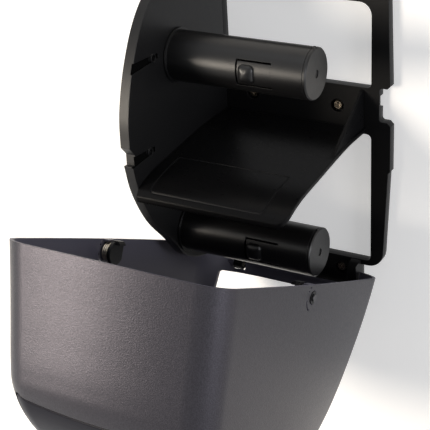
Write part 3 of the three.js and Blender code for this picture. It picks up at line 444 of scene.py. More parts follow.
def slab(outline, plane, start, end, material):
    """Outline thickened between two places. Planes: front (x, z) along y, side (y, z) along x,
    floor (x, y) along z."""
    order = {"front": [0, 2, 1], "side": [1, 2, 0], "floor": [0, 1, 2]}[plane]
    count = len(outline)
    points = np.empty((2 * count, 3))
    points[:, order] = np.column_stack([np.vstack([outline, outline]), np.repeat((start, end), count)])
    caps = tessellate_polygon([[Vector((u, v, 0)) for u, v in outline]])
    faces = [tuple(f) for f in caps] + [tuple(i + count for i in f)[::-1] for f in caps]
    return made("slab", points, faces + grid(2, count, round_width=True), material)


def block(low, high, material):
    """Box between two corners."""
    (x0, y0, z0), (x1, y1, z1) = np.minimum(low, high), np.maximum(low, high)
    return slab(np.array([(x0, y0), (x1, y0), (x1, y1), (x0, y1)]), "floor", z0, z1, material)


def rod(radius, start, end, centre, material, steps=48):
    """Cylinder along x through a centre (y, z)."""
    return slab(circle(radius, centre, steps), "side", start, end, material)


def turned(profile, centre, material, steps=112):
    """Profile (radius, x) turned about an axis along x through a centre (y, z). A profile from axis to
    axis is closed by the axis, any other by its own last edge."""
    profile = np.array(profile)
    turns = np.linspace(0, 2 * math.pi, steps, endpoint=False)[:, None]
    x = np.repeat(profile[None, :, 1], steps, axis=0)
    y = centre[0] + profile[:, 0] * np.cos(turns)
    z = centre[1] + profile[:, 0] * np.sin(turns)
    points = np.stack([x, y, z], axis=-1).reshape(-1, 3)
    return made("turned", points, grid(steps, len(profile), True, bool(profile[0, 0] > 0)), material)


def ring(inner, outer, start, end, centre, material):
    """Tube between two radii about an axis along x."""
    return turned([(inner, start), (outer, start), (outer, end), (inner, end)], centre, material)


def combine(how, piece, *tools):
    """Joins or cuts a piece with tools, which are used up. Faces keep the material of their source."""
    for tool in tools:
        step = piece.modifiers.new(how.lower(), "BOOLEAN")
        step.operation = how
        step.object = tool
        step.solver = "MANIFOLD"
        step.material_mode = "TRANSFER"
        with bpy.context.temp_override(object=piece, active_object=piece, selected_objects=[piece]):
            bpy.ops.object.modifier_apply(modifier=step.name)
        mesh = tool.data
        bpy.data.objects.remove(tool)
        bpy.data.meshes.remove(mesh)
    return piece


cut = partial(combine, "DIFFERENCE")
join = partial(combine, "UNION")
keep = partial(combine, "INTERSECT")


def shade(piece, angle=SHARP_ANGLE):
    """Smooth shading that breaks at edges sharper than an angle."""
    mesh = piece.data
    mesh.polygons.foreach_set("use_smooth", np.ones(len(mesh.polygons), bool))
    mesh.set_sharp_from_angle(angle=angle)
    return piece


def opened(piece):
    """Turns a piece that is modelled on the closed cover about the hinge line into the open pose."""
    turn = Matrix.Rotation(OPEN_ANGLE, 4, "X")
    line = Matrix.Translation(Vector(HINGE))
    piece.data.transform(line @ turn @ line.inverted())
    return piece


def dressed(piece, node, body):
    """Names a finished piece after its node, puts it on its body if it has just one, and lets it stand
    for the node."""
    piece.name = piece.data.name = node + "_finish"
    if body:
        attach(piece, body)
    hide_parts(node)
    return piece


def refined(node, body, material):
    """The node's own solid with welded corners, clean flat faces and smooth round ones."""
    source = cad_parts[node]
    mesh = source.data.copy()
    mesh.transform(source.matrix_world)
    piece = added(node + "_finish", mesh)
    form = bmesh.new()
    form.from_mesh(mesh)
    bmesh.ops.remove_doubles(form, verts=form.verts, dist=WELD)
    bmesh.ops.dissolve_limit(form, angle_limit=FLAT_ANGLE, verts=form.verts, edges=form.edges)
    form.to_mesh(mesh)
    form.free()
    mesh.materials.clear()
    mesh.materials.append(material)
    shade(piece)
    even = piece.modifiers.new("even", "WEIGHTED_NORMAL")
    even.keep_sharp = True
    even.weight = 100
    return dressed(piece, node, body)


# Materials


class Nodes:
    """Node tree of a material or a world, built up call by call."""

    def __init__(self, owner):
        owner.use_nodes = True
        self.owner = owner
        self.tree = owner.node_tree
        self.tree.nodes.clear()

    def feed(self, socket, value):
        """Links an input to another socket, or sets it to a plain value."""
        if isinstance(value, bpy.types.NodeSocket):
            self.tree.links.new(value, socket)
        else:
            socket.default_value = value

    def add(self, kind, **values):
        """Node whose properties are set before its inputs are fed."""
        node = self.tree.nodes.new(kind)
        for key, value in sorted(values.items(), key=lambda item: item[0] in node.inputs):
            if key in node.inputs:
                self.feed(node.inputs[key], value)
            else:
                setattr(node, key, value)
        return node

    def result(self, kind, *values, **settings):
        """First output of a node whose inputs are fed in order."""
        node = self.add(kind, **settings)
        for socket, value in zip(node.inputs, values):
            self.feed(socket, value)
        return node.outputs[0]

    def maths(self, operation, *values):
        return self.result("ShaderNodeMath", *values, operation=operation)

    def vector(self, operation, *values):
        return self.result("ShaderNodeVectorMath", *values, operation=operation)

    def ramp(self, factor, stops, colours):
        """Colour that runs from one to another between two stops."""
        node = self.add("ShaderNodeValToRGB", Fac=factor)
        for end, stop, colour in zip(node.color_ramp.elements, stops, colours):
            end.position = stop
            end.color = (*colour, 1)
        return node.outputs["Color"]

    def place(self):
        return self.add("ShaderNodeTexCoord").outputs["Object"]

    def noise(self, place, scale, detail):
        return self.add("ShaderNodeTexNoise", Vector=place, Scale=scale, Detail=detail).outputs["Fac"]

    def round_edge(self, radius):
        return self.add("ShaderNodeBevel", Radius=radius, samples=EDGE_SAMPLES).outputs["Normal"]

    def relief(self, height, depth, strength, normal):
        return self.add("ShaderNodeBump", Height=height, Distance=depth, Strength=strength,
                        Normal=normal).outputs["Normal"]

    def seen(self):
        """One for rays of the camera, of reflections and of clear pieces, else none."""
        path = self.add("ShaderNodeLightPath").outputs
        mirrored = self.maths("MAXIMUM", path["Is Glossy Ray"], path["Is Transmission Ray"])
        return self.maths("MAXIMUM", path["Is Camera Ray"], mirrored)

    def finish(self, shader, kind="ShaderNodeOutputMaterial"):
        self.add(kind, Surface=shader)
        return self.owner


def plastic(name, colour, roughness, grain=0.0, grain_size=0.0009, streak=0.02, edge=0.0004, sheen=0.5,
            metallic=0.0, crown=0.0):
    """Moulded plastic. Its colour drifts a little with slow noise, and its roughness and relief with finer
    noise. Grain adds pebbles, and a speckle that lowers their pits and paints shade into them. Edges
    are lit as if rounded by a small radius. A crown tilts the normal outwards in proportion to x, as on a wall
    that swells a little."""
    n = Nodes(bpy.data.materials.new(name))
    place = n.place()
    fine = n.noise(place, *FINE_NOISE)
    dark, pale = (tuple(c * share for c in colour) for share in (1 - streak, 1 + streak))
    base = n.ramp(n.noise(place, *DRIFT_NOISE), DRIFT_STOPS, (dark, pale))
    drift = n.maths("MULTIPLY", n.maths("SUBTRACT", fine, 0.5), FINE_ROUGHNESS)
    normal = n.round_edge(edge)
    if crown:
        normal = n.vector("NORMALIZE", n.vector("MULTIPLY_ADD", place, (crown, 0, 0), normal))
    normal = n.relief(fine, FINE_DEPTH, FINE_STRENGTH, normal)
    if grain:
        pebbles = n.add("ShaderNodeTexVoronoi", Vector=place, Scale=1 / grain_size,
                        feature="SMOOTH_F1").outputs["Distance"]
        waves, detail = SPECKLE_NOISE
        speckle = n.noise(place, waves / grain_size, detail)
        # Painted shade: the speckle darkens the colour where it also lowers the relief
        base = n.vector("MULTIPLY", base, n.ramp(speckle, PIT_SHADE_STOPS, ((1 - grain / 2,) * 3, (1, 1, 1))))
        height = n.maths("ADD", pebbles, n.maths("MULTIPLY", speckle, SPECKLE_HEIGHT))
        normal = n.relief(height, grain_size * PEBBLE_DEPTH, grain, normal)
    shader = n.add("ShaderNodeBsdfPrincipled", **{
        "Base Color": base, "Roughness": n.maths("ADD", drift, roughness), "Normal": normal,
        "Specular IOR Level": sheen, "Metallic": metallic})
    return n.finish(shader.outputs[0])


def metal(name, colour, roughness, edge=0.0003):
    """Plated steel, with faint turning marks in its tint, roughness and relief."""
    n = Nodes(bpy.data.materials.new(name))
    fine = n.noise(n.place(), *TURNING_NOISE)
    shader = n.add("ShaderNodeBsdfPrincipled", **{
        "Base Color": n.ramp(fine, TURNING_STOPS, (tuple(c * TURNING_TINT for c in colour), colour)),
        "Roughness": n.maths("ADD", n.maths("MULTIPLY", fine, TURNING_ROUGHNESS), roughness),
        "Normal": n.relief(fine, TURNING_DEPTH, TURNING_STRENGTH, n.round_edge(edge)), "Metallic": 1.0})
    return n.finish(shader.outputs[0])


# The cover's form


def half_width(y, z):
    """Cover's half width: it swells in the middle, narrows with depth and more so towards its chin."""
    rise = (z - COVER_MIDDLE) / COVER_BULGE_SPAN
    depth = np.maximum(-y, 0) / COVER_DEPTH
    drop_share = np.maximum(COVER_MIDDLE - z, 0) / (COVER_MIDDLE + COVER_FOOT)
    return (COVER_HALF_WIDTH - COVER_BULGE * rise**2 - COVER_DRAFT * depth
            - COVER_CHIN * depth**1.5 * drop_share**2)


def cover_form(depth, material):
    """Cover's outer form as a closed block, every face moved inwards by a depth. Each station of the
    middle section runs out to both sides, turns down round an arc and runs back past the rim."""
    height = COVER_TOP + COVER_FOOT
    shares = np.array(COVER_SHARES)
    line = smooth(np.column_stack([-shares[:, 0] * COVER_DEPTH, shares[:, 1] * height - COVER_FOOT]),
                  STATIONS_PER_SHARE)
    along = np.gradient(line, axis=0)
    along /= np.linalg.norm(along, axis=1)[:, None]
    inward = np.column_stack([along[:, 1], -along[:, 0]])
    past = COVER_REACH - COVER_RIM
    line = np.vstack([[past, line[0, 1]], line, [past, line[-1, 1]]])
    inward = np.vstack([[0, 1], inward, [0, -1]])
    drop_share = (COVER_TOP - line[:, 1]) / height
    radius = COVER_TOP_RADIUS + (COVER_FOOT_RADIUS - COVER_TOP_RADIUS) * drop_share**3 - depth
    turn = np.linspace(0, math.pi / 2, CORNER_STEPS + 1)
    sink = depth + radius[:, None] * (1 - np.cos(turn))
    y = line[:, :1] + inward[:, :1] * sink
    z = line[:, 1:] + inward[:, 1:] * sink
    y[[0, -1]] = past
    x = half_width(y, z) - depth - radius[:, None] * (1 - np.sin(turn))
    arc = np.stack([x, y, z], axis=-1)
    share = np.linspace(0, 1, SIDE_ROWS + 1)[1:, None]
    foot_y = arc[:, -1, 1] * (1 - share) + past * share
    foot_z = np.repeat(arc[None, :, -1, 2], SIDE_ROWS, axis=0)
    side = np.stack([half_width(foot_y, foot_z) - depth, foot_y, foot_z], axis=-1).transpose(1, 0, 2)
    side[[0, -1]] = arc[[0, -1], -1][:, None]
    right = np.concatenate([arc, side], axis=1)
    left = right[:, ::-1] * (-1, 1, 1)
    rows = np.concatenate([left, right], axis=1)
    count, width = rows.shape[:2]
    index = np.arange(count * width).reshape(count, width)
    rim = np.concatenate([index[:, 0], index[-1, 1:], index[-2::-1, -1], index[0, -2:0:-1]]).tolist()
    faces = grid(count, width) + fan(count * width, rim[::-1])
    return made("form", np.vstack([rows.reshape(-1, 3), [0, past, COVER_MIDDLE]]), faces, material)


def panel_outline(gap, top_gap):
    """Front panel's outline less its gaps, its top edge dipping in the middle by a parabola."""
    wide, narrow = PANEL_HALF_WIDTH - gap, PANEL_FOOT_HALF_WIDTH - gap
    top, foot, radius = PANEL_TOP - top_gap, PANEL_FOOT + gap, PANEL_RADIUS - gap
    dip = [(share * wide, top - PANEL_DIP * (1 - share**2))
           for share in np.linspace(PANEL_DIP_SHARE, -PANEL_DIP_SHARE, PANEL_DIP_POINTS)]
    return rounded([(-wide, top, radius), (-narrow, foot, radius), (narrow, foot, radius),
                    (wide, top, radius), *dip])


def arch_outline():
    """Arch pressed into the front panel, curved at its top."""
    shoulder = (2 * ARCH_TOP + ARCH_SIDE) / 3
    top = smooth([(ARCH_HALF_WIDTH, ARCH_SIDE), (ARCH_HALF_WIDTH / 2, shoulder), (0, ARCH_TOP),
                  (-ARCH_HALF_WIDTH / 2, shoulder), (-ARCH_HALF_WIDTH, ARCH_SIDE)], ARCH_STEPS)
    return np.vstack([top, [(-ARCH_HALF_WIDTH, ARCH_FOOT), (ARCH_HALF_WIDTH, ARCH_FOOT)]])


def front_of(outline, material):
    """Outline thickened through the cover's front."""
    return slab(outline, "front", -COVER_DEPTH - OVERRUN, -PANEL_START, material)


def front_cut(depth, outline, material):
    """What lies within an outline on the cover's front and less deep than a depth."""
    return cut(front_of(outline, material), cover_form(depth, material))


# Settings

COLOUR = {"subtype": "COLOR", "size": 3}
SHARE = {"subtype": "FACTOR", "min": 0.0, "max": 1.0}


class DispenserCoverSettings(bpy.types.PropertyGroup):
    outside: bpy.props.FloatVectorProperty(
        name="Outside", description="Colour of the cover's outer faces",
        default=(0.0510, 0.0483, 0.0575), **COLOUR)
    # The inner faces are the cover's own plastic, smooth, and painted lighter to make up for the shade inside
    # the cover
    inside: bpy.props.FloatVectorProperty(
        name="Inside", description="Colour of the cover's inner faces",
        default=(0.115, 0.110, 0.145), **COLOUR)
    panel: bpy.props.FloatVectorProperty(
        name="Front panel", description="Colour of the panel let into the cover",
        default=(0.012, 0.012, 0.019), **COLOUR)
    grain_size: bpy.props.FloatProperty(
        name="Grain size", description="Width of one pebble of the moulded grain",
        default=0.0007, min=0.0002, unit="LENGTH")
    roughness: bpy.props.FloatProperty(
        name="Roughness", description="Roughness of the cover's plastic", default=0.40, **SHARE)
    pearl: bpy.props.FloatProperty(
        name="Pearl", description="Share of fine metal flakes in the cover's plastic", default=0.85, **SHARE)
    crown: bpy.props.FloatProperty(
        name="Crown", description="Tilt of the outer faces' lighting per metre away from the middle",
        default=2.4, min=0.0)


class DispenserFrameSettings(bpy.types.PropertyGroup):
    colour: bpy.props.FloatVectorProperty(
        name="Colour", description="Colour of the frame, side plate, shelf and spindles",
        default=(0.005, 0.005, 0.0055), **COLOUR)
    roughness: bpy.props.FloatProperty(
        name="Roughness", description="Roughness of the frame's plastic", default=0.42, **SHARE)
    sheen: bpy.props.FloatProperty(
        name="Sheen", description="Strength of the reflections on the frame's plastic", default=0.14, **SHARE)


class DispenserStageSettings(bpy.types.PropertyGroup):
    key: bpy.props.FloatProperty(
        name="Key light", description="Power of the soft light from the left",
        default=32.0, min=0.0, unit="POWER")
    fill: bpy.props.FloatProperty(
        name="Fill light", description="Power of the weaker lights", default=4.0, min=0.0, unit="POWER")
    sky: bpy.props.FloatProperty(
        name="Sky", description="Strength of the light from all round", default=0.25, min=0.0)
    floor_drop: bpy.props.FloatProperty(
        name="Floor drop", description="Height of the floor below the object", default=0.5,
        min=0.0, unit="LENGTH")
    backdrop: bpy.props.FloatProperty(
        name="Backdrop", description="Glow of floor and wall beyond their light", default=0.42, min=0.0)


# Operators


class DISPENSER_OT_cover(bpy.types.Operator):
    """Cover shell with its outlet, hinge edge and latch openings"""

    bl_idname = "dispenser.cover"
    bl_label = "Cover"

    def execute(self, context):
        s = context.scene.dispenser_cover
        outside = plastic("cover_grained", s.outside, s.roughness, grain=0.45, grain_size=s.grain_size,
                          metallic=s.pearl, crown=s.crown, edge=0.0006)
        # Smooth inner finish, painted lighter than the outside to make up for the shade in the cover
        inside = plastic("cover_inside_painted_lighter", s.inside, s.roughness + INSIDE_ROUGHNESS_MORE, sheen=0.3)
        # Near-black finish that paints shade into the panel's seat, seen as a dark line in the gap round the
        # panel
        seat = plastic("panel_seat_painted_shade", PANEL_SEAT_PAINTED_SHADE, roughness=0.7, sheen=0.02)
        reach = COVER_HALF_WIDTH + OVERRUN
        low, high = -COVER_FOOT - OVERRUN, COVER_TOP + OVERRUN
        hinge = HINGE[1:]
        ear_top = hinge[1] + EAR_RADIUS
        slot_top = ear_top + FIT_GAP
        ear_end = LUG_OUTER + EAR_THICKNESS
        shell = cut(cover_form(0, outside), cover_form(COVER_WALL, inside),
                    block((-reach, -COVER_RIM, low), (reach, COVER_REACH + OVERRUN, high), inside))
        lip = keep(cut(cover_form(COVER_WALL / 2, inside), cover_form(COVER_WALL + HINGE_LIP, inside)),
                   block((-reach, -HINGE_EDGE - HINGE_LIP, low), (reach, -HINGE_EDGE, ear_top), inside))
        join(shell, lip)
        for _, side in SIDES:
            join(shell, rod(EAR_RADIUS, side * LUG_OUTER, side * ear_end, hinge, inside),
                 *self.mounts(side, inside))
        # Among these cuts, the panel's seat takes the painted-shade finish
        cut(shell, self.outlet(low, inside),
            front_cut(PANEL_SINK + PANEL_THICKNESS + FIT_GAP, panel_outline(0, 0), seat),
            block((-LUG_OUTER, -HINGE_EDGE, low), (LUG_OUTER, OVERRUN, slot_top), inside))
        for _, side in SIDES:
            near, far = side * LUG_INNER, side * LUG_OUTER
            cut(shell, block((near, -LUG_SLOT_FRONT, low), (far, OVERRUN, slot_top), inside),
                rod(PIN_BORE, near, side * (ear_end + OVERRUN), hinge, inside),
                rod(PIN_HEAD_BORE, side * ear_end, side * (ear_end + PIN_HEAD_DEPTH), hinge, inside),
                *self.latch_cuts(side, inside))
        shade(opened(shell))
        dressed(shell, "cover_shell", "cover")
        return {"FINISHED"}

    def outlet(self, low, material):
        """Outlet's outline, straight at the hinge and drawn in towards the chin."""
        outline = rounded([
            (OUTLET_HALF_WIDTH, -OUTLET_SHOULDER), (OUTLET_HALF_WIDTH, -OUTLET_REAR, OUTLET_RADIUS),
            (-OUTLET_HALF_WIDTH, -OUTLET_REAR, OUTLET_RADIUS), (-OUTLET_HALF_WIDTH, -OUTLET_SHOULDER),
            (-OUTLET_FRONT_HALF_WIDTH, -OUTLET_FRONT, OUTLET_RADIUS),
            (OUTLET_FRONT_HALF_WIDTH, -OUTLET_FRONT, OUTLET_RADIUS)])
        return slab(outline, "floor", low, -OUTLET_TOP, material)

    def mounts(self, side, material):
        """Hooked post and roof beside a latch."""
        wall = side * (COVER_HALF_WIDTH - COVER_WALL / 2)
        y, z = -LATCH_FORWARD, LATCH_HEIGHT
        post_z = z - LATCH_POST_DROP
        hook = LATCH_POST_RADIUS / 2
        return (
            rod(LATCH_POST_RADIUS, side * LATCH_POST_REACH, wall, (y, post_z), material),
            block((side * LATCH_POST_REACH, y, post_z - hook),
                  (side * (LATCH_POST_REACH + LATCH_HOOK_RISE), y + LATCH_POST_RADIUS + LATCH_HOOK_RISE,
                   post_z + hook), material),
            block((side * LATCH_ROOF_REACH, -COVER_RIM - LATCH_ROOF_THICKNESS, z - LATCH_ROOF_HALF_WIDTH),
                  (wall, -COVER_RIM, z + LATCH_ROOF_HALF_WIDTH), material),
        )

    def latch_cuts(self, side, material):
        """Shaft bore, cap seat, curved slot and key dots of a latch."""
        centre = (-LATCH_FORWARD, LATCH_HEIGHT)
        past = side * (COVER_HALF_WIDTH + OVERRUN)
        near = side * LATCH_ROOF_REACH
        seat = half_width(*centre) - LATCH_SEAT_DEPTH

        def around(radius, angles):
            turn = math.pi / 2 + np.asarray(angles)
            return np.column_stack([centre[0] + radius * np.cos(turn), centre[1] + radius * np.sin(turn)])

        sweep = LATCH_SLOT_FROM + np.linspace(0, LATCH_SLOT_SWEEP, LATCH_SLOT_POINTS)
        slot = np.vstack([around(LATCH_SLOT_RADIUS + LATCH_SLOT_WIDTH / 2, sweep),
                          around(LATCH_SLOT_RADIUS - LATCH_SLOT_WIDTH / 2, sweep)[::-1]])
        return (rod(LATCH_BORE, near, past, centre, material),
                rod(LATCH_SEAT_RADIUS, side * seat, past, centre, material),
                slab(slot, "side", near, past, material),
                *(rod(LATCH_DOT_RADIUS, near, past, spot, material, LATCH_DOT_STEPS)
                  for spot in around(LATCH_SLOT_RADIUS, LATCH_DOT_ANGLES)))


class DISPENSER_OT_front_panel(bpy.types.Operator):
    """Front panel with its pressed arch"""

    bl_idname = "dispenser.front_panel"
    bl_label = "Front panel"

    def execute(self, context):
        s = context.scene.dispenser_cover
        finish = plastic("front_panel_gloss", s.panel, roughness=0.32, sheen=0.06, edge=0.0008)
        panel = keep(cut(cover_form(PANEL_SINK, finish), cover_form(PANEL_SINK + PANEL_THICKNESS, finish)),
                     front_of(panel_outline(PANEL_GAP, PANEL_TOP_GAP), finish))
        cut(panel, front_cut(PANEL_SINK + ARCH_DEPTH, arch_outline(), finish))
        shade(opened(panel))
        dressed(panel, "front_panel", "cover")
        return {"FINISHED"}


class DISPENSER_OT_springs(bpy.types.Operator):
    """Coil springs behind the latch discs"""

    bl_idname = "dispenser.springs"
    bl_label = "Latch springs"

    def execute(self, context):
        finish = metal("spring_wire", SPRING_STEEL, roughness=0.25)
        seat = float(half_width(-LATCH_FORWARD - SPRING_RADIUS - SPRING_WIRE, LATCH_HEIGHT))
        end = seat - COVER_WALL - FIT_GAP - SPRING_WIRE / 2
        start = SPRING_START + SPRING_WIRE / 2
        for name, side in SIDES:
            piece = opened(self.coil(side, start, end, finish))
            shade(piece, SPRING_SHARP)
            dressed(piece, f"latch_spring_{name}", "cover")
            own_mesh(piece)
        return {"FINISHED"}

    def coil(self, side, start, end, material):
        """Helix about the latch's shaft: the radius stays and the place along x grows with the turn."""
        count = int(SPRING_TURNS * SPRING_STEPS)
        share = np.linspace(0, 1, count + 1)[:, None]
        turn = 2 * math.pi * SPRING_TURNS * share
        around = 2 * math.pi * np.arange(SPRING_SIDES) / SPRING_SIDES
        out = SPRING_RADIUS + np.cos(around) * SPRING_WIRE / 2
        x = side * (start + (end - start) * share) + np.sin(around) * SPRING_WIRE / 2
        y = -LATCH_FORWARD + out * np.cos(turn)
        z = LATCH_HEIGHT + out * np.sin(turn)
        points = np.stack([x, y, z], axis=-1).reshape(-1, 3)
        last = count * SPRING_SIDES
        ends = [list(range(SPRING_SIDES))[::-1], list(range(last, last + SPRING_SIDES))]
        return made("coil", points, grid(count + 1, SPRING_SIDES, round_width=True) + ends, material)


class DISPENSER_OT_frame(bpy.types.Operator):
    """Wall frame, side plate and shelf"""

    bl_idname = "dispenser.frame"
    bl_label = "Frame"

    def execute(self, context):
        s = context.scene.dispenser_frame
        finish = plastic("frame_satin", s.colour, s.roughness, sheen=s.sheen, edge=0.0007)
        satin = plastic("plate_satin", s.colour, s.roughness, sheen=s.sheen * PLATE_SHEEN_SHARE, edge=0.0007)
        # Near-black finish that paints shade into the keeper channels
        keeper_shade = plastic("keeper_painted_shade", KEEPER_PAINTED_SHADE, roughness=0.7, sheen=0.02)
        gloss = plastic("shelf_gloss", s.colour, s.roughness * SHELF_ROUGHNESS_SHARE,
                        sheen=s.sheen * SHELF_SHEEN_SHARE, edge=0.0018)
        # Grey finish that paints a highlight into the shelf's groove
        groove = plastic("groove_painted_highlight", GROOVE_PAINTED_HIGHLIGHT, roughness=0.5, sheen=s.sheen)
        refined("back_frame", "chassis", finish)
        for name, piece in (("side_plate", self.side_plate(satin, keeper_shade)),
                            ("roll_shelf", self.shelf(gloss, groove))):
            dressed(shade(piece), name, "chassis")
        return {"FINISHED"}

    def side_plate(self, material, keeper_shade):
        """Plate with a flange round its free edge, two keeper channels whose faces are painted black as their
        shade, and two spindle sockets.
        """
        def placed(shares, reach):
            return [(-across * PLATE_DEPTH, up * reach) for across, up in shares]

        steps = placed(PLATE_STEP_SHARES, -PLATE_FOOT)
        upper = smooth([(-PLATE_REAR, PLATE_TOP), *placed(PLATE_UPPER_SHARES, PLATE_TOP)], CURVE_STEPS)
        lower = smooth([steps[2], *placed(PLATE_LOWER_SHARES, -PLATE_FOOT), (-PLATE_REAR, -PLATE_FOOT)],
                       CURVE_STEPS)
        edge = np.vstack([upper, steps[:2], lower])
        back = -PLATE_FACE - FLANGE_WIDTH
        skin = -PLATE_FACE - PLATE_SKIN
        plate = cut(slab(edge, "side", back, -PLATE_FACE, material),
                    slab(inset(edge, PLATE_SKIN), "side", back - OVERRUN, skin, material))
        floor = -PLATE_FACE - KEEPER_DEPTH
        for end, height in KEEPERS:
            far = PLATE_DEPTH + OVERRUN
            channel = rounded([
                (-far, height - KEEPER_MOUTH / 2), (-end, height - KEEPER_END / 2, KEEPER_END / 4),
                (-end, height + KEEPER_END / 2, KEEPER_END / 4), (-far, height + KEEPER_MOUTH / 2)])
            # The channel's faces take the painted shade
            cut(plate, slab(channel, "side", floor, -PLATE_FACE + OVERRUN, keeper_shade))
            join(plate, ring(KEEPER_RING_RADIUS - KEEPER_RING_WALL, KEEPER_RING_RADIUS, floor - FIT_GAP,
                             -PLATE_FACE + KEEPER_RING_HEIGHT, (-end - KEEPER_RING_PLACE, height), material))
        for _, height in SPINDLES:
            cut(plate, rod(SPIGOT_RADIUS + FIT_GAP, skin - OVERRUN, -PLATE_FACE + OVERRUN,
                           (-SPINDLE_FORWARD, height), material, SPIGOT_STEPS))
        return plate

    def shelf(self, material, groove_highlight):
        """Board under a smooth curve, cut to its plan, with a groove round a panel, whose faces are painted
        lighter as a highlight, and a gusset.
        """
        left = -PLATE_FACE + FIT_GAP
        top = smooth([(-out * SHELF_DEPTH, -SHELF_REAR - down * SHELF_DROP) for out, down in SHELF_SHARES],
                     CURVE_STEPS)
        below = np.vstack([top, [(top[-1, 0], -SHELF_DEPTH), (top[0, 0], -SHELF_DEPTH)]])
        low = -SHELF_REAR - SHELF_DROP - SHELF_THICKNESS - OVERRUN
        plan = rounded([
            (left, -PLATE_REAR), (left, -SHELF_DEPTH), (SHELF_REACH, -SHELF_DEPTH, SHELF_CORNER_RADIUS),
            (SHELF_REACH, -PLATE_REAR)], CURVE_STEPS)

        def under(depth, finish):
            return slab(inset(below, depth), "side", left - OVERRUN, SHELF_REACH + OVERRUN, finish)

        def panel(grow):
            west, east, radius = -GROOVE_LEFT - grow, GROOVE_RIGHT + grow, GROOVE_RADIUS + grow
            far, near = -GROOVE_FAR - grow, -GROOVE_NEAR + grow
            corners = [(west, far, radius), (east, far, radius), (east, near, radius), (west, near, radius)]
            return slab(rounded(corners), "floor", low, GUSSET_TOP, groove_highlight)

        board = keep(cut(under(0, material), under(SHELF_THICKNESS, material)),
                     slab(plan, "floor", low, GUSSET_TOP, material))
        # The groove's faces take the painted highlight
        cut(board, cut(panel(GROOVE_WIDTH / 2), panel(-GROOVE_WIDTH / 2), under(GROOVE_DEPTH, groove_highlight)))
        web = rounded([
            (-PLATE_REAR, GUSSET_TOP), (-PLATE_REAR, -SHELF_REAR - SHELF_THICKNESS / 2),
            (-GUSSET_RUN - GUSSET_ROOT_RADIUS, -SHELF_REAR - SHELF_THICKNESS),
            (-GUSSET_RUN, -SHELF_REAR - SHELF_THICKNESS / 2),
            (-GUSSET_RUN + GUSSET_ROOT_RADIUS, -SHELF_REAR + SHELF_THICKNESS / 2)])
        return join(board, slab(web, "side", GUSSET_REACH - GUSSET_THICKNESS, GUSSET_REACH, material))


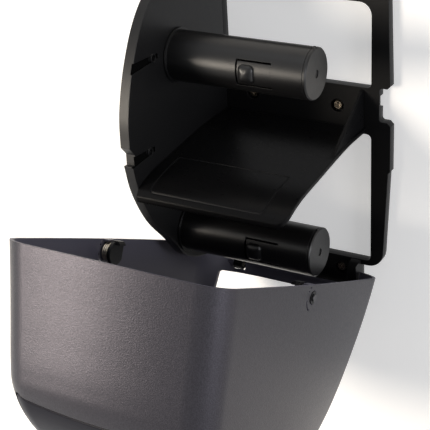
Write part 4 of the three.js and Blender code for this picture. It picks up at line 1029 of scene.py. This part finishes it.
class DISPENSER_OT_spindles(bpy.types.Operator):
    """Roll spindles with their fingers and caps"""

    bl_idname = "dispenser.spindles"
    bl_label = "Spindles"

    def execute(self, context):
        s = context.scene.dispenser_frame
        finish = plastic("spindle_satin", s.colour, s.roughness - SPINDLE_ROUGHNESS_LESS,
                         sheen=s.sheen * SPINDLE_SHEEN_SHARE)
        for row, height in SPINDLES:
            pieces = (("spindle", "chassis", self.tube(height, finish)),
                      ("spindle_cap", "chassis", self.cap(height, finish)),
                      ("spindle_finger", None, self.finger(height, finish)))
            for name, body, piece in pieces:
                dressed(shade(piece), f"{row}_{name}", body)
            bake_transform(piece)
        return {"FINISHED"}

    def bay(self, height, reach, start, end, material):
        """Space in front of the spindle's axis, so far up and down from it."""
        front = -SPINDLE_FORWARD - SPINDLE_RADIUS - BUMP_RISE - OVERRUN
        back = -SPINDLE_FORWARD - SPINDLE_WALL
        return block((start, front, height - reach), (end, back, height + reach), material)

    def tube(self, height, material):
        """Tube with a collar against the plate and a barbed spigot through it, open round the finger."""
        base = -PLATE_FACE + FIT_GAP
        end = -PLATE_FACE - PLATE_SKIN - FIT_GAP
        tip, step, seat = end - BARB_LENGTH, base + COLLAR_THICKNESS, CAP_SEAT - FIT_GAP
        core, barb, bore = SPIGOT_RADIUS - SPIGOT_WALL, SPIGOT_RADIUS + BARB_RISE, SPINDLE_RADIUS - SPINDLE_WALL
        profile = [
            (core, tip), (SPIGOT_RADIUS, tip), (barb, end - FIT_GAP), (barb, end), (SPIGOT_RADIUS, end),
            (SPIGOT_RADIUS, base), (COLLAR_RADIUS, base), (COLLAR_RADIUS, step), (SPINDLE_RADIUS, step),
            (SPINDLE_RADIUS, seat), (bore, seat), (bore, step), (core, step)]
        return cut(turned(profile, (-SPINDLE_FORWARD, height), material),
                   self.bay(height, FINGER_HALF_WIDTH + FINGER_SLOT, FINGER_FREE, FINGER_ROOT, material))

    def finger(self, height, material):
        """Sprung tongue cut free from the tube's wall, with a rounded square bump near its free end."""
        start, end = FINGER_FREE + FINGER_SLOT, FINGER_ROOT
        wall = ring(SPINDLE_RADIUS - FINGER_THICKNESS, SPINDLE_RADIUS, start, end,
                    (-SPINDLE_FORWARD, height), material)
        tongue = keep(wall, self.bay(height, FINGER_HALF_WIDTH, start, end, material))
        front = -SPINDLE_FORWARD - SPINDLE_RADIUS
        bump = keep(self.dome(start + BUMP_INSET + BUMP_LENGTH / 2, front, height, material),
                    block((start, front - BUMP_RISE - OVERRUN, height - FINGER_HALF_WIDTH),
                          (end, front + FINGER_THICKNESS, height + FINGER_HALF_WIDTH), material))
        return join(tongue, bump)

    def dome(self, x, y, z, material):
        """Superellipse rings: at climb c they shrink by cos c and stand forward by rise times sin c."""
        turn = np.linspace(0, 2 * math.pi, BUMP_STEPS, endpoint=False)
        c, s = np.cos(turn), np.sin(turn)
        rim = (np.abs(c) ** BUMP_SQUARENESS + np.abs(s) ** BUMP_SQUARENESS) ** (-1 / BUMP_SQUARENESS) / 2
        climb = np.linspace(0, math.pi / 2, BUMP_RINGS, endpoint=False)
        shrink = np.append(1, np.cos(climb))[:, None]
        lift = np.append(FINGER_THICKNESS / 2, -BUMP_RISE * np.sin(climb))[:, None]
        rings = np.stack(np.broadcast_arrays(
            x + BUMP_LENGTH * rim * shrink * c, y + lift, z + BUMP_WIDTH * rim * shrink * s), axis=-1)
        points = np.vstack([rings.reshape(-1, 3), [x, y + FINGER_THICKNESS / 2, z], [x, y - BUMP_RISE, z]])
        tip = len(points) - 1
        first, last = list(range(BUMP_STEPS)), list(range(BUMP_RINGS * BUMP_STEPS, tip - 1))
        faces = grid(BUMP_RINGS + 1, BUMP_STEPS, round_width=True) + fan(tip - 1, first[::-1]) + fan(tip, last)
        return made("dome", points, faces, material)

    def cap(self, height, material):
        """Bevelled disc with a skirt inside the tube, a dimple and a key at the top."""
        end, low = CAP_SEAT + CAP_THICKNESS, CAP_SEAT - CAP_SKIRT
        skirt = SPINDLE_RADIUS - SPINDLE_WALL - FIT_GAP
        core = skirt - SPINDLE_WALL
        profile = [
            (0, CAP_SEAT), (core, CAP_SEAT), (core, low), (skirt, low), (skirt, CAP_SEAT),
            (SPINDLE_RADIUS, CAP_SEAT), (SPINDLE_RADIUS, end - CAP_BEVEL), (SPINDLE_RADIUS - CAP_BEVEL, end),
            (CAP_HUB, end), (CAP_HUB, end - CAP_HUB_DEPTH), (0, end - CAP_HUB_DEPTH)]
        top = height + SPINDLE_RADIUS
        key = block((CAP_SEAT, -SPINDLE_FORWARD - CAP_KEY_WIDTH / 2, top - CAP_KEY_RISE),
                    (end - CAP_BEVEL, -SPINDLE_FORWARD + CAP_KEY_WIDTH / 2, top + CAP_KEY_RISE), material)
        return join(turned(profile, (-SPINDLE_FORWARD, height), material), key)


class DISPENSER_OT_latches(bpy.types.Operator):
    """Latch plungers, their caps and screws"""

    bl_idname = "dispenser.latches"
    bl_label = "Latches"

    def execute(self, context):
        black = plastic("latch_black", LATCH_BLACK, roughness=0.4, sheen=0.15)
        grey = metal("latch_screw_black", LATCH_SCREW_GREY, roughness=0.3)
        for name, _ in SIDES:
            for part, slot, finish in (("plunger", "latch_plastic", black), ("cap", "latch_plastic", black),
                                       ("screw", "screw_steel", grey)):
                refined(f"latch_{part}_{name}", f"latch_{name}", finish)
        return {"FINISHED"}


class DISPENSER_OT_fixings(bpy.types.Operator):
    """Wall screws and hinge pins"""

    bl_idname = "dispenser.fixings"
    bl_label = "Fixings"

    def execute(self, context):
        bright = metal("screw_steel_finish", SCREW_STEEL, roughness=0.2)
        for name, _ in SIDES:
            for node in (f"cross_wall_screw_{name}", f"foot_wall_screw_{name}", f"hinge_pin_{name}"):
                refined(node, "chassis", bright)
        return {"FINISHED"}


class DISPENSER_OT_stage(bpy.types.Operator):
    """Floor, lights, white surroundings and the photograph's camera"""

    bl_idname = "dispenser.stage"
    bl_label = "Stage"

    def execute(self, context):
        s = context.scene.dispenser_stage
        self.camera(context)
        self.lights(s)
        self.world(context, s)
        self.floor(s)
        context.scene.view_settings.view_transform = "Standard"
        return {"FINISHED"}

    def camera(self, context):
        """Camera turned by its roll, raised by its elevation, then turned to its azimuth."""
        lens = bpy.data.cameras.new("photo_camera")
        lens.sensor_width = CAMERA_SENSOR
        lens.lens = CAMERA_FOCUS
        lens.shift_x = CAMERA_SHIFT
        view = added("photo_camera", lens)
        view.matrix_world = (
            Matrix.Translation(CAMERA_PLACE) @ Matrix.Rotation(CAMERA_AZIMUTH, 4, "Z")
            @ Matrix.Rotation(math.pi / 2 - CAMERA_ELEVATION, 4, "X") @ Matrix.Rotation(CAMERA_ROLL, 4, "Z"))
        context.scene.camera = view

    def lights(self, s):
        """Soft key from the left front, weaker fills from the right and from above."""
        for name, place, size, setting, share, tint in LAMPS:
            lamp = bpy.data.lights.new(name, "AREA")
            lamp.energy = getattr(s, setting) * share
            lamp.color = tint
            lamp.shape = "DISK"
            lamp.size = size
            holder = added(name, lamp)
            holder.location = place
            holder.rotation_euler = (Vector(LAMP_TARGET) - Vector(place)).to_track_quat("-Z", "Y").to_euler()

    def world(self, context, s):
        """White to the camera, in reflections and through clear pieces, and a soft light for the rest."""
        n = Nodes(bpy.data.worlds.new("studio"))
        lit, white = (n.add("ShaderNodeBackground", Color=(1, 1, 1, 1), Strength=strength).outputs[0]
                      for strength in (s.sky, 1.0))
        shader = n.result("ShaderNodeMixShader", n.seen(), lit, white)
        context.scene.world = n.finish(shader, "ShaderNodeOutputWorld")

    def floor(self, s):
        """Pale floor below the object and a wall behind it, which glow a little to the camera and in
        reflections. The wall takes the object's shadow, but it lights nothing. It isn't seen from behind,
        nor in reflections on faces that lie against it."""
        low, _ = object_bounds()
        level, far = low[2] - s.floor_drop, GROUND_REACH
        front, back = ([(-far, y, level), (far, y, level)] for y in (-far, FIT_GAP))
        top = [(far, FIT_GAP, far), (-far, FIT_GAP, far)]
        for name, pale, glow, corners in (
                ("floor", FLOOR_SHADE, s.backdrop * FLOOR_GLOW_SHARE, front + back[::-1]),
                ("wall", WALL_SHADE, s.backdrop, back + top)):
            n = Nodes(bpy.data.materials.new(f"{name}_pale"))
            matte = n.result("ShaderNodeBsdfDiffuse", (pale, pale, pale, 1))
            light = n.add("ShaderNodeEmission", Strength=n.maths("MULTIPLY", n.seen(), glow)).outputs[0]
            path = n.add("ShaderNodeLightPath").outputs
            near = n.maths("LESS_THAN", path["Ray Length"], WALL_NEAR)
            behind = n.add("ShaderNodeNewGeometry").outputs["Backfacing"]
            clear = n.maths("MAXIMUM", behind, n.maths("MULTIPLY", path["Is Glossy Ray"], near))
            n.finish(n.result("ShaderNodeMixShader", clear, n.result("ShaderNodeAddShader", matte, light),
                              n.add("ShaderNodeBsdfTransparent").outputs[0]))
            mesh = bpy.data.meshes.new(name)
            mesh.from_pydata(corners, [], [(0, 1, 2, 3)])
            mesh.materials.append(n.owner)
            ground = added(name, mesh)
            ground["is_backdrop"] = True
            if name == "wall":
                for ray in ("diffuse", "transmission", "shadow"):
                    setattr(ground, f"visible_{ray}", False)


class DISPENSER_PT_panel(bpy.types.Panel):
    """Buttons that build the dispenser piece by piece"""

    bl_label = "Dispenser"
    bl_space_type = "VIEW_3D"
    bl_region_type = "UI"
    bl_category = "Dispenser"

    def draw(self, context):
        for group, settings in SETTINGS.items():
            for key in settings.__annotations__:
                self.layout.prop(getattr(context.scene, group), key)
        for operator in OPERATORS:
            self.layout.operator(operator.bl_idname)


SETTINGS = {
    "dispenser_cover": DispenserCoverSettings,
    "dispenser_frame": DispenserFrameSettings,
    "dispenser_stage": DispenserStageSettings,
}
OPERATORS = (
    DISPENSER_OT_frame,
    DISPENSER_OT_spindles,
    DISPENSER_OT_fixings,
    DISPENSER_OT_cover,
    DISPENSER_OT_front_panel,
    DISPENSER_OT_latches,
    DISPENSER_OT_springs,
    DISPENSER_OT_stage,
)
CLASSES = (*SETTINGS.values(), *OPERATORS, DISPENSER_PT_panel)


def register():
    for cls in CLASSES:
        bpy.utils.register_class(cls)
    for key, group in SETTINGS.items():
        setattr(bpy.types.Scene, key, bpy.props.PointerProperty(type=group))


def unregister():
    for key in SETTINGS:
        delattr(bpy.types.Scene, key)
    for cls in reversed(CLASSES):
        bpy.utils.unregister_class(cls)


def main():
    register()
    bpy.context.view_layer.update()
    bpy.ops.dispenser.frame()
    bpy.ops.dispenser.spindles()
    bpy.ops.dispenser.fixings()
    bpy.ops.dispenser.cover()
    bpy.ops.dispenser.front_panel()
    bpy.ops.dispenser.latches()
    bpy.ops.dispenser.springs()
    bpy.ops.dispenser.stage()


if __name__ == "__main__":
    main()
